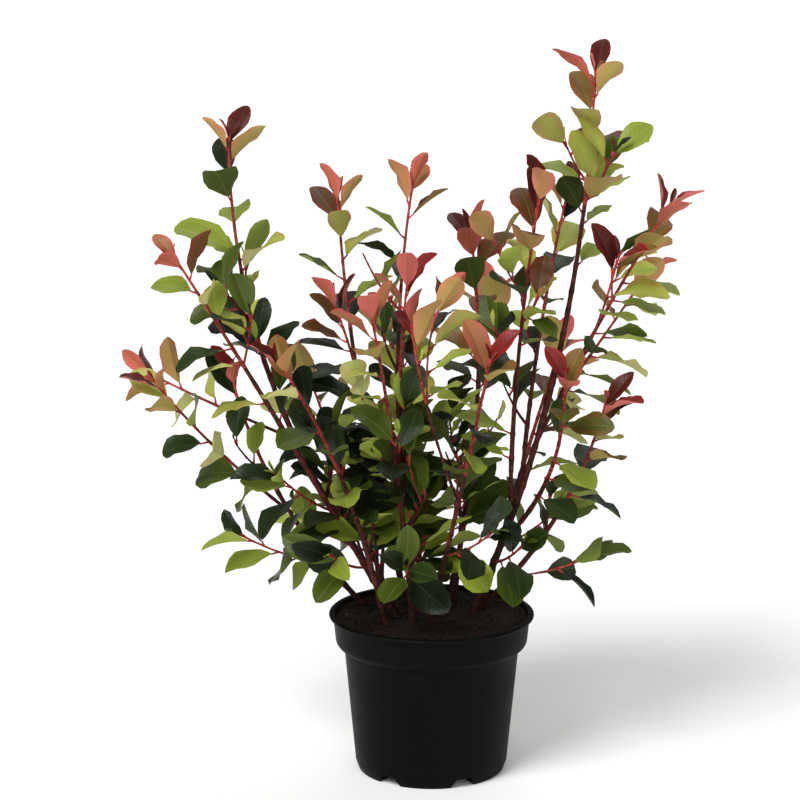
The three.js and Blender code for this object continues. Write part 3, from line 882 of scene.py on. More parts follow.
@dataclass
class Shrub:
    """The shrub's growth: every shoot's leaves and twigs, with the finer ones carried on from them."""

    habit: Habit
    growths: list[Growth] = field(default_factory=list)

    def grow(self) -> None:
        """Grows every shoot, first by the source's rule and then on to finer twigs."""
        shoots = self.habit.lay_out()
        self.rooms = Rooms(self.habit, shoots)
        for number, shoot in enumerate(shoots):
            growth = self._grow_mass(shoot, number)
            main = len(growth.leaves)
            self._grow_fine(growth)
            self.growths.append(growth)
            LOG.info("%s: %d leaves and %d finer ones", shoot.name, main, len(growth.leaves) - main)
        for growth in self.growths:
            before = len(growth.leaves)
            self._grow_low(growth)
            LOG.info("%s: %d leaves on its bare limb", growth.shoot.name, len(growth.leaves) - before)

    def _offer(
        self,
        growth: Growth,
        spot: tuple[Axis, float, float, float],
        plan: dict[str, float],
        rank: float,
        margin: float,
    ) -> None:
        """Adds a leaf where one of its tries has room.

        Args:
            growth: what has grown on the shoot.
            spot: the stem's axis, the place on it, the bearing and the size.
            plan: the leaf's chance turns and its growth.
            rank: how many nodes back from the shoot's tip it counts.
            margin: how near to another blade is too near.
        """
        axis, place, bearing, size = spot
        for turned, share in self.habit.leaf_tries:
            leaf = self.habit.place_leaf(axis, place, bearing + turned, size * share, plan)
            clear = self.rooms.clear(leaf.samples, growth.number)
            if clear and not self.rooms.crossing(leaf.samples, growth, margin):
                green_from = growth.shoot.flush.value
                leaf.ripeness = rank / green_from if green_from else math.inf
                growth.leaves.append(leaf)
                return

    def _room_for_twig(self, twig: Axis, growth: Growth) -> np.ndarray | None:
        """Tests a twig against its mass's room and leaves.

        Args:
            twig: the twig's axis.
            growth: what has grown on its shoot.

        Returns:
            The twig's marks, or None where it has no room.
        """
        habit = self.habit
        marks = twig.point(habit.marks(twig.length * habit.twig_clear_from, twig.length))
        if not self.rooms.clear(marks, growth.number):
            return None
        if growth.leaves:
            blades = np.concatenate([leaf.samples[habit.stalk_samples :] for leaf in growth.leaves])
            if to_segments(blades, marks[:-1], marks[1:])[0].min() <= habit.stem_margin:
                return None
        return marks

    def _near(self, growth: Growth, point: np.ndarray) -> Growth:
        """Gathers what already grows round a point, of whatever shoot.

        Args:
            growth: what has grown on the shoot that the point is on.
            point: the point.

        Returns:
            The leaves and stems near it, as if they had grown on that shoot.
        """
        reach = self.habit.near
        around = Growth(growth.shoot, None, [])
        for other in self.growths:
            around.leaves += [leaf for leaf in other.leaves if np.abs(leaf.base - point).max() < reach]
            around.stems += [m for m in other.stems if np.abs(m - point).max(axis=1).min() < reach]
        return around

    def _grow_twig(
        self,
        growth: Growth,
        spot: tuple[Axis, float, float],
        kind: TwigKind,
        rank: float,
        youth: float,
        draw: Draws,
    ) -> None:
        """Grows a side twig and its leaves, where there is room for them.

        Args:
            growth: what has grown on the shoot.
            spot: the stem's axis, the place on it and the bearing.
            kind: the kind of twig.
            rank: how many nodes back from the shoot's tip the twig counts.
            youth: how young its skin is, from 0 to 1.
            draw: the stream of numbers.
        """
        habit = self.habit
        axis, place, bearing = spot
        twig = habit.plan_twig(axis, place, bearing, kind.length * mix(*habit.twig_play, draw()))
        nodes = habit.node_places(twig, 0, draw)
        plans = [habit.plan_leaf(step + habit.twig_age, draw) for step in range(len(nodes))]
        if not kind.by_source and not habit.in_thicket(twig.tip):
            return
        around = self._near(growth, twig.tip) if kind.on_bare_limb else growth
        marks = self._room_for_twig(twig, around)
        if marks is None:
            return
        before = len(around.leaves)
        around.stems.append(marks)
        for step, (node, plan) in enumerate(zip(nodes, plans)):
            turned = bearing + habit.twig_leaf_turn + step * habit.spiral
            leaf_spot = (twig, node, turned, kind.leaf_size)
            self._offer(around, leaf_spot, plan, rank + step, kind.blade_margin)
        if len(around.leaves) == before and not kind.by_source:
            around.stems.pop()
            return
        growth.twigs.append(Twig(twig, nodes, youth))
        if around is not growth:
            growth.stems.append(marks)
            growth.leaves += around.leaves[before:]

    def _grow_mass(self, shoot: Shoot, number: int) -> Growth:
        """Grows one shoot by the source's rule.

        Args:
            shoot: the shoot.
            number: its number.

        Returns:
            Its leaves and side twigs.
        """
        habit, draw = self.habit, Draws(shoot.seed)
        turn = 360 * draw()
        nodes = habit.node_places(shoot.axis, shoot.leafy_from, draw)
        growth = Growth(shoot, number, nodes, stems=[self.rooms.leafy[number]])
        for rank, place in enumerate(nodes):
            spot = (shoot.axis, place, turn + rank * habit.spiral)
            self._offer(growth, (*spot, 1.0), habit.plan_leaf(rank, draw), rank, habit.blade_margin)
            sprouts = draw() < habit.twig_chance
            if rank >= habit.twig_first_rank and sprouts:
                self._grow_twig(growth, spot, habit.side_twig, rank, 1 - rank / len(nodes), draw)
        return growth

    def _grow_fine(self, growth: Growth) -> None:
        """Carries a shoot on to finer twigs in the room that its leaves have left.

        Args:
            growth: what has grown on the shoot.
        """
        habit, shoot = self.habit, growth.shoot
        draw = Draws(shoot.seed + habit.fine_seed)
        stems = [(shoot.axis, growth.nodes, 0)]
        stems += [(twig.axis, twig.nodes, habit.twig_first_rank) for twig in growth.twigs]
        for axis, nodes, older in stems:
            for rank, place in enumerate(nodes):
                if rank + older < habit.fine_first_rank or axis.point(place)[2] > habit.fine_height:
                    continue
                youth = 1 - rank / len(nodes)
                for turned in habit.fine_turns:
                    spot = (axis, place, 360 * draw() + turned)
                    self._grow_twig(growth, spot, habit.fine_twig, rank + older, youth, draw)
        for axis, _, older in stems:
            self._grow_spike(growth, axis, older, draw)

    def _grow_spike(self, growth: Growth, axis: Axis, rank: float, draw: Draws) -> None:
        """Ends a stem in narrow young leaves that have hardly opened.

        Args:
            growth: what has grown on the shoot.
            axis: the stem's axis.
            rank: how many nodes back from the shoot's tip the stem counts.
            draw: the stream of numbers.
        """
        habit = self.habit
        bearing = 360 * draw()
        for step, size in enumerate(habit.spike_sizes):
            plan = habit.plan_leaf(0, draw)
            plan.update(spread=habit.spike_spread, breadth=habit.spike_width)
            place = axis.length - habit.spike_rise * (step + 1)
            spot = (axis, place, bearing + step * habit.spiral, size)
            self._offer(growth, spot, plan, rank, habit.spike_margin)

    def _grow_low(self, growth: Growth) -> None:
        """Sets leafy twigs on a shoot's bare limb, down to near the soil.

        Args:
            growth: what has grown on the shoot.
        """
        habit, axis = self.habit, growth.shoot.axis
        draw = Draws(growth.shoot.seed + habit.low_seed)
        for place in np.arange(growth.shoot.leafy_from, 0, -habit.low_gap):
            if habit.low_start < axis.point(place)[2] < habit.low_end:
                bearing = 360 * draw()
                for turned in habit.low_turns:
                    spot = (axis, place, bearing + turned)
                    self._grow_twig(growth, spot, habit.low_twig, math.inf, 0, draw)


# Making pieces


def deselect_all() -> None:
    """Deselects every object, because an operator acts on all that is selected."""
    bpy.ops.object.select_all(action="DESELECT")


def make_active(piece: Object) -> None:
    """Selects one piece alone and makes it the active one."""
    deselect_all()
    piece.select_set(True)
    bpy.context.view_layer.objects.active = piece


def select_parts(piece: Object, kind: str, test: Callable[[Any], bool]) -> None:
    """Selects some corners or faces of a piece and stays in edit mode.

    Args:
        piece: the piece, which is the active one.
        kind: VERT or FACE.
        test: tells whether a corner or face is wanted.
    """
    bpy.ops.object.mode_set(mode="EDIT")
    bpy.ops.mesh.select_mode(type=kind)
    bpy.ops.mesh.select_all(action="DESELECT")
    bpy.ops.object.mode_set(mode="OBJECT")
    for part in piece.data.vertices if kind == "VERT" else piece.data.polygons:
        part.select = test(part)
    bpy.ops.object.mode_set(mode="EDIT")


def face_outwards(piece: Object) -> None:
    """Turns the faces of a closed piece outwards."""
    make_active(piece)
    bpy.ops.object.mode_set(mode="EDIT")
    bpy.ops.mesh.select_all(action="SELECT")
    bpy.ops.mesh.normals_make_consistent(inside=False)
    bpy.ops.object.mode_set(mode="OBJECT")


def smooth(piece: Object, crease: float) -> None:
    """Shades a piece smooth up to the crease angle in degrees."""
    make_active(piece)
    bpy.ops.object.shade_smooth_by_angle(angle=math.radians(crease))


def set_materials(piece: Object, materials: list[Material]) -> None:
    """Gives a piece its materials, one to a slot."""
    # Clearing also resets which face has which slot, so it is left out where there is nothing to clear
    if len(piece.data.materials):
        piece.data.materials.clear()
    for material in materials:
        piece.data.materials.append(material)


def apply_modifier(piece: Object, kind: str, settings: dict[str, Any]) -> None:
    """Adds a modifier to a piece and applies it.

    Args:
        piece: the piece.
        kind: the modifier's Blender type.
        settings: its properties by name.
    """
    make_active(piece)
    modifier = piece.modifiers.new(kind.title(), kind)
    for key, value in settings.items():
        setattr(modifier, key, value)
    bpy.ops.object.modifier_apply(modifier=modifier.name)


def turn_profile(name: str, profile: list[Pair], sides: int) -> Object:
    """Raises a round piece ring by ring from a filled circle, as by extruding and scaling by hand.

    Args:
        name: the piece's name.
        profile: each ring's radius and height in millimetres, from the middle of one face.
        sides: how many sides the rings have.

    Returns:
        The piece, with its faces turned outwards.
    """
    deselect_all()
    radius, height = profile[0]
    foot = (0, 0, mm(height))
    bpy.ops.mesh.primitive_circle_add(vertices=sides, radius=mm(radius), fill_type="NGON", location=foot)
    piece = bpy.context.object
    piece.name = name
    bpy.ops.object.transform_apply(location=True, rotation=False, scale=False)
    bpy.ops.object.mode_set(mode="EDIT")
    bpy.ops.mesh.select_all(action="SELECT")
    for next_radius, next_height in profile[1:]:
        rise = (0, 0, mm(next_height - height))
        bpy.ops.mesh.extrude_region_move(TRANSFORM_OT_translate={"value": rise})
        share = next_radius / radius
        bpy.ops.transform.resize(value=(share, share, 1), center_override=(0, 0, mm(next_height)))
        radius, height = next_radius, next_height
    bpy.ops.object.mode_set(mode="OBJECT")
    face_outwards(piece)
    return piece


def mesh_piece(name: str, vertices: np.ndarray, faces: list[Face], slots: list[int]) -> Object:
    """Makes a joined piece of many small things from arrays.

    Args:
        name: the piece's name.
        vertices: the points in millimetres, a row each.
        faces: the corners of each face.
        slots: the material slot of each face.

    Returns:
        The piece.
    """
    mesh = bpy.data.meshes.new(name)
    mesh.from_pydata((mm(1) * vertices).tolist(), [], faces)
    mesh.polygons.foreach_set("material_index", slots)
    mesh.update()
    piece = bpy.data.objects.new(name, mesh)
    bpy.context.collection.objects.link(piece)
    return piece


@dataclass
class GrowingPot:
    """The round black growing pot, to the sizes of the part's source."""

    height: float = 149.5
    lip_radius: float = 95
    lip_depth: float = 4
    lip_overhang: float = 3.5
    # How far in and down the small hollow under the lip starts, and how far down it ends
    lip_hollow: Pair = (0.6, 1)
    hollow_end: float = 0.3
    rim_ease: Pair = (0.6, 0.8)
    band_depth: float = 30
    band_taper: float = 2.5
    band_step: float = 8
    wall: float = 2.2
    base_radius: float = 70.6
    foot_radius: float = 68
    foot_ease: float = 1
    sides: int = 144
    wall_rings: tuple[float, ...] = (0.2, 0.4, 0.6, 0.8, 0.98)
    step_turns: tuple[float, ...] = (6, 15, 30, 45, 60, 75, 90)
    lip_turns: tuple[float, ...] = (-90, -60, -30, 0, 30, 60, 90)
    channels: int = 6
    channel_turn: float = -5.3
    channel_roof: float = 15
    channel_mouth: float = 24
    channel_height: float = 8.5
    channel_start: float = 30
    drain_radius: float = 4.5
    drain_sides: int = 24
    drain_reach: float = 52
    edge_round: float = 0.8
    round_segments: int = 2
    sharp_edge: float = 50
    crease: float = 32
    finish: MouldedPlastic = MouldedPlastic()

    def band_inner(self, height: float) -> float:
        """Gives the inner radius of the band at a height."""
        foot = self.height - self.band_depth
        inner = self.lip_radius - self.lip_overhang - self.band_taper - self.wall
        return inner + (height - foot) * self.band_taper / self.band_depth

    def profile(self) -> list[Pair]:
        """Draws the wall's section.

        Returns:
            Radii and heights, up the outside, over the lip and down the inside to its floor.
        """
        band_top = self.lip_radius - self.lip_overhang
        band_foot = self.height - self.band_depth
        lip_foot = self.height - self.lip_depth
        neck = band_top - self.band_taper - self.band_step
        rings = [
            (self.foot_radius - self.foot_ease, 0.0),
            (self.foot_radius, self.foot_ease),
            (self.base_radius, self.channel_height),
        ]
        step_foot = band_foot - self.wall
        for share in self.wall_rings:
            rings.append((mix(self.base_radius, neck, share), mix(self.channel_height, step_foot, share)))
        # The band's underside turns out and up in a quarter round
        for angle in map(math.radians, self.step_turns):
            out, up = self.band_step * math.sin(angle), self.band_step * (1 - math.cos(angle))
            rings.append((neck + out, step_foot + up))
        # A small hollow leads over to the lip, which is a half round
        inset, drop = self.lip_hollow
        rings += [(band_top - inset, lip_foot - drop), (band_top, lip_foot - self.hollow_end)]
        half = self.lip_depth / 2
        for angle in map(math.radians, self.lip_turns):
            out, up = half * math.cos(angle), half * math.sin(angle)
            rings.append((self.lip_radius - half + out, lip_foot + half + up))
        ledge = band_foot + self.band_step / 2
        inset, drop = self.rim_ease
        rings += [
            (self.band_inner(self.height) + inset, self.height),
            (self.band_inner(self.height), self.height - drop),
            (self.band_inner(ledge), ledge),
            (neck - self.wall, step_foot),
            (self.base_radius - self.wall, self.channel_height + self.wall),
        ]
        return rings

    def channel_bar(self, angle: float) -> Object:
        """Makes the bar that cuts one channel.

        Args:
            angle: the channel's bearing in radians.

        Returns:
            The bar, which widens downwards from the channel's roof to its mouth and on.
        """
        length = self.lip_radius - self.channel_start
        deselect_all()
        bpy.ops.mesh.primitive_cube_add(
            size=1,
            location=(mm(self.channel_start + length / 2), 0, 0),
            scale=(mm(length), mm(self.channel_roof), mm(2 * self.channel_height)),
        )
        bpy.ops.object.transform_apply(location=True, rotation=False, scale=True)
        bar = bpy.context.object
        select_parts(bar, "VERT", lambda corner: corner.co.z < 0)
        widening = 2 * self.channel_mouth / self.channel_roof - 1
        bpy.ops.transform.resize(value=(1, widening, 1), center_override=(0, 0, 0))
        bpy.ops.object.mode_set(mode="OBJECT")
        bar.rotation_euler = (0, 0, angle)
        bpy.ops.object.transform_apply(location=False, rotation=True, scale=False)
        return bar

    def drain(self, angle: float) -> Object:
        """Makes the cylinder that cuts the drain at a bearing in radians."""
        deselect_all()
        floor = Vector((0, 0, mm(self.channel_height + self.wall)))
        bpy.ops.mesh.primitive_cylinder_add(
            vertices=self.drain_sides,
            radius=mm(self.drain_radius),
            depth=mm(4 * self.wall),
            location=Vector((math.cos(angle), math.sin(angle), 0)) * mm(self.drain_reach) + floor,
        )
        bpy.ops.object.transform_apply(location=True, rotation=False, scale=False)
        return bpy.context.object

    def build(self) -> Object:
        """Turns the pot, cuts its channels and drains, and rounds its edges.

        Returns:
            The dressed pot.
        """
        pot = turn_profile("growing_pot", self.profile(), self.sides)
        for index in range(self.channels):
            angle = math.radians(self.channel_turn + index * 360 / self.channels)
            for cutter in (self.channel_bar(angle), self.drain(angle)):
                cut = {"operation": "DIFFERENCE", "object": cutter, "solver": "EXACT"}
                apply_modifier(pot, "BOOLEAN", cut)
                bpy.data.objects.remove(cutter, do_unlink=True)
        rounding = {"width": mm(self.edge_round), "segments": self.round_segments}
        limit = {"limit_method": "ANGLE", "angle_limit": math.radians(self.sharp_edge)}
        apply_modifier(pot, "BEVEL", rounding | limit)
        smooth(pot, self.crease)
        set_materials(pot, [self.finish.material()])
        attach(pot, "root")
        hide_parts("pot")
        return pot


@dataclass
class Soil:
    """The fill of potting mix with loose crumbs on top."""

    pot: GrowingPot
    top: float = 146
    gap: float = 0.5
    base_ease: float = 1
    # The roughened part of the top: how far it keeps from the rim, and how its faces are told
    still_rim: float = 2
    level_play: float = 0.1
    least_upwards: float = 0.9
    sides: int = 96
    rings: int = 16
    roughness: float = 1.4
    waves_per_metre: float = 60
    grit: float = 0.6
    grit_per_metre: float = 350
    crease: float = 40
    crumbs: int = 1500
    crumb_size: Pair = (1.2, 4.6)
    crumb_fineness: float = 2.5
    crumb_width: Pair = (0.5, 0.9)
    crumb_depth: Pair = (0.35, 0.7)
    crumb_lumps: Pair = (0.75, 1.2)
    crumb_tilt: float = 0.4
    crumb_rise: float = 0.3
    crumb_kinds: tuple[float, ...] = (0.68, 0.31, 0.01)
    seed: int = 7

    def bed(self) -> Object:
        """Makes the fill: a round block whose top is inset ring by ring and then roughened."""
        pot = self.pot
        band_foot = pot.height - pot.band_depth
        ledge = band_foot + pot.band_step / 2 + self.gap
        neck = pot.lip_radius - pot.lip_overhang - pot.band_taper - pot.band_step
        surface = self.top - self.roughness / 2
        rim = pot.band_inner(surface) - self.gap
        section = [
            (pot.base_radius - pot.wall - self.base_ease, pot.channel_height + pot.wall + self.gap),
            (neck - pot.wall - self.gap, band_foot - pot.wall + self.gap),
            (pot.band_inner(ledge) - self.gap, ledge),
            (rim, surface),
        ]
        bed = turn_profile("potting_mix_bed", section, self.sides)
        select_parts(bed, "FACE", lambda face: face.normal.z > self.least_upwards)
        for _ in range(self.rings):
            bpy.ops.mesh.inset(thickness=mm(rim / (self.rings + 1)), depth=0)
        bpy.ops.object.mode_set(mode="OBJECT")
        for vertex in bed.data.vertices:
            inner = math.hypot(vertex.co.x, vertex.co.y) < mm(rim - self.still_rim)
            if vertex.co.z > mm(surface - self.level_play) and inner:
                waves = mm(self.roughness) * noise.noise(vertex.co * self.waves_per_metre)
                vertex.co.z += waves + mm(self.grit) * noise.noise(vertex.co * self.grit_per_metre)
        return bed

    def crumb_arrays(self) -> tuple[np.ndarray, list[Face], list[int]]:
        """Scatters crumbs of mix over the bed.

        Returns:
            Their points in millimetres, their faces and each face's slot.
        """
        deselect_all()
        bpy.ops.mesh.primitive_ico_sphere_add(subdivisions=1, radius=1)
        crumb = bpy.context.object
        shape = np.array([vertex.co[:] for vertex in crumb.data.vertices])
        corners = [tuple(face.vertices) for face in crumb.data.polygons]
        bpy.data.objects.remove(crumb, do_unlink=True)
        chance = np.random.default_rng(self.seed)
        rim = self.pot.band_inner(self.top) - self.gap - self.crumb_size[1] / 2
        points, faces, slots = [], [], []
        for index in range(self.crumbs):
            reach = rim * math.sqrt(chance.random())
            angle = chance.random() * 2 * math.pi
            size = mix(*self.crumb_size, chance.random() ** self.crumb_fineness) / 2
            width, depth = mix(*self.crumb_width, chance.random()), mix(*self.crumb_depth, chance.random())
            stretch = size * np.array([1, width, depth])
            bent = shape * stretch * chance.uniform(*self.crumb_lumps, (len(shape), 1))
            turn = chance.random() * 2 * math.pi
            tilt = chance.normal(0, self.crumb_tilt)
            spun = [
                bent[:, 0] * math.cos(turn) - bent[:, 1] * math.sin(turn),
                bent[:, 0] * math.sin(turn) + bent[:, 1] * math.cos(turn),
                bent[:, 2] + bent[:, 0] * math.sin(tilt),
            ]
            x, y = reach * math.cos(angle), reach * math.sin(angle)
            waves = self.roughness * noise.noise(Vector((mm(x), mm(y), 0)) * self.waves_per_metre)
            height = self.top - self.roughness / 2 + waves + size * self.crumb_rise
            points.append(np.stack(spun, axis=1) + np.array([x, y, height]))
            start = index * len(shape)
            faces += [tuple(start + corner for corner in face) for face in corners]
            slots += [int(chance.choice(3, p=self.crumb_kinds))] * len(corners)
        return np.concatenate(points), faces, slots

    def build(self) -> list[Object]:
        """Makes the bed and its crumbs.

        Returns:
            The dressed pieces.
        """
        bed = self.bed()
        smooth(bed, self.crease)
        peat = PottingMix("damp sieved peat", "#0c0503", "#1e0e08").material()
        bark = PottingMix("composted bark crumbs", "#160805", "#30160c").material()
        chips = PottingMix("dry wood chips", "#3c2616", "#6e5032").material()
        crumbs = mesh_piece("potting_mix_crumbs", *self.crumb_arrays())
        set_materials(bed, [peat])
        set_materials(crumbs, [peat, bark, chips])
        for piece in (bed, crumbs):
            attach(piece, "root")
        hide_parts("soil")
        return [bed, crumbs]


# The slots of the barks, from the foot of a limb to the tip of its shoot
OLD, RIPENING, RED, BRIGHT = range(4)


@dataclass
class Wood:
    """The bare limbs with their bark's relief, and the leafy stems and twigs that run on from them."""

    shrub: Shrub
    limb_step: float = 2.2
    stem_step: float = 4.0
    node_swell: float = 0.22
    swell_reach: float = 2.4
    flare: float = 0.3
    flare_height: float = 12
    sink: float = 4
    stem_fullness: float = 1.2
    limb_ring: int = 4
    stem_ring: int = 2
    bark_depth: float = 0.25
    bark_grain: float = 0.012
    crease: float = 60
    # How far apart the scars of fallen leaves are, as a share of the gap between leaves, and the lowest
    scar_gap: float = 0.9
    lowest_scar: float = 20
    # The share of a limb that has old bark: of one from the soil, and of a branch
    old_share: Pair = (0.62, 0.15)
    red_reach: float = 120
    bright_reach: float = 34
    least_run: float = 1
    red_twig: float = 0.4
    shades: tuple[Bark, ...] = (
        Bark("old photinia bark", "#1c0b06", "#3a1b11", 0.85, 1.2, 0.3),
        Bark("ripening photinia bark", "#2b0d08", "#54211a", 0.6, 1.4, 0.12),
        Bark("red young photinia shoot", "#5c1612", "#943a32", 0.5, 0.8, 0.06),
        Bark("bright photinia shoot tip", "#882220", "#b8403a", 0.45, 0.8, 0.04),
    )

    def _tubes(self, name: str, ring: int) -> Object:
        """Starts an empty bevelled curve with the barks in its slots.

        Args:
            name: the piece's name.
            ring: how finely its section is divided.

        Returns:
            The curve, ready for splines whose point radii are in millimetres.
        """
        deselect_all()
        bpy.ops.curve.primitive_bezier_curve_add()
        tubes = bpy.context.object
        tubes.name = name
        tubes.data.splines.clear()
        tubes.data.dimensions = "3D"
        tubes.data.bevel_depth = mm(1)
        tubes.data.bevel_resolution = ring
        tubes.data.use_fill_caps = True
        set_materials(tubes, self.barks)
        return tubes

    def _run(
        self,
        tubes: Object,
        axis: Axis,
        stretch: Pair,
        step: float,
        nodes: list[float],
        shade: int,
        flare: float = 0,
    ) -> None:
        """Adds a stretch of a stem to a curve.

        Args:
            tubes: the curve.
            axis: the stem's axis.
            stretch: where the stretch starts and ends.
            step: how far apart its rings are.
            nodes: the places where leaves have swollen it.
            shade: the material slot.
            flare: how much it widens at the soil.
        """
        start, end = stretch
        places = np.linspace(start, end, max(2, math.ceil((end - start) / step)) + 1)
        points = axis.point(places)
        radii = np.asarray(axis.radius(places), float) * (self.stem_fullness if step == self.stem_step else 1)
        swell = np.zeros(len(places))
        for node in nodes:
            swell += np.exp(-(((places - node) / self.swell_reach) ** 2))
        radii = radii * (1 + self.node_swell * np.minimum(swell, 1))
        radii = radii * (1 + flare * np.maximum(0, 1 - (places - start) / self.flare_height) ** 2)
        if flare:
            # The foot goes down into the mix
            points[0] -= self.sink * axis.frame(0)[0]
        spline = tubes.data.splines.new("POLY")
        spline.points.add(len(places) - 1)
        coordinates = np.column_stack([mm(points), np.ones(len(places))])
        spline.points.foreach_set("co", coordinates.ravel())
        spline.points.foreach_set("radius", radii)
        spline.material_index = shade

    def _finish(self, tubes: Object) -> Object:
        """Turns a curve to a closed mesh and gives it back."""
        make_active(tubes)
        bpy.ops.object.convert(target="MESH")
        piece = bpy.context.object
        face_outwards(piece)
        return piece

    def limbs(self) -> Object:
        """Makes the bare limbs, old bark below and ripening bark above.

        Returns:
            The limbs with the ridges of their bark.
        """
        limbs = self._tubes("limbs", self.limb_ring)
        scar_gap = self.shrub.habit.node_gap * self.scar_gap
        for shoot in (growth.shoot for growth in self.shrub.growths):
            if shoot.leafy_from > 0:
                scars = list(np.arange(shoot.leafy_from, self.lowest_scar, -scar_gap))
                flare = self.flare if shoot.rises else 0
                middle = shoot.leafy_from * self.old_share[0 if shoot.rises else 1]
                self._run(limbs, shoot.axis, (0, middle), self.limb_step, scars, OLD, flare)
                self._run(limbs, shoot.axis, (middle, shoot.leafy_from), self.limb_step, scars, RIPENING)
        limbs = self._finish(limbs)
        bark = bpy.data.textures.new("bark ridges", "CLOUDS")
        bark.noise_scale = self.bark_grain
        ridges = {"texture": bark, "texture_coords": "LOCAL", "strength": mm(self.bark_depth)}
        apply_modifier(limbs, "DISPLACE", ridges)
        return limbs

    def leafy_stems(self) -> Object:
        """Makes the stems that bear leaves, redder towards their tips, and their twigs.

        Returns:
            The stems.
        """
        stems = self._tubes("leafy_stems", self.stem_ring)
        for growth in self.shrub.growths:
            axis, start = growth.shoot.axis, growth.shoot.leafy_from
            red = max(start, axis.length - self.red_reach)
            bright = max(red, axis.length - self.bright_reach)
            if red > start + self.least_run:
                self._run(stems, axis, (start, red), self.stem_step, growth.nodes, RIPENING)
            self._run(stems, axis, (red, bright), self.stem_step, growth.nodes, RED)
            self._run(stems, axis, (bright, axis.length), self.stem_step, growth.nodes, BRIGHT)
            for twig in growth.twigs:
                shade = RED if twig.youth > self.red_twig else RIPENING
                self._run(stems, twig.axis, (0, twig.axis.length), self.stem_step, twig.nodes, shade)
        return self._finish(stems)

    def build(self) -> list[Object]:
        """Makes the limbs and the leafy stems.

        Returns:
            The dressed pieces.
        """
        self.barks = [shade.material() for shade in self.shades]
        limbs, stems = self.limbs(), self.leafy_stems()
        names = sorted(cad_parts)
        for piece in (limbs, stems):
            smooth(piece, self.crease)
            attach(piece, "root")
        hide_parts(*[name for name in names if name.startswith("stem_")])
        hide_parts(*[name for name in names if name.startswith("leaves_")])
        return [limbs, stems]


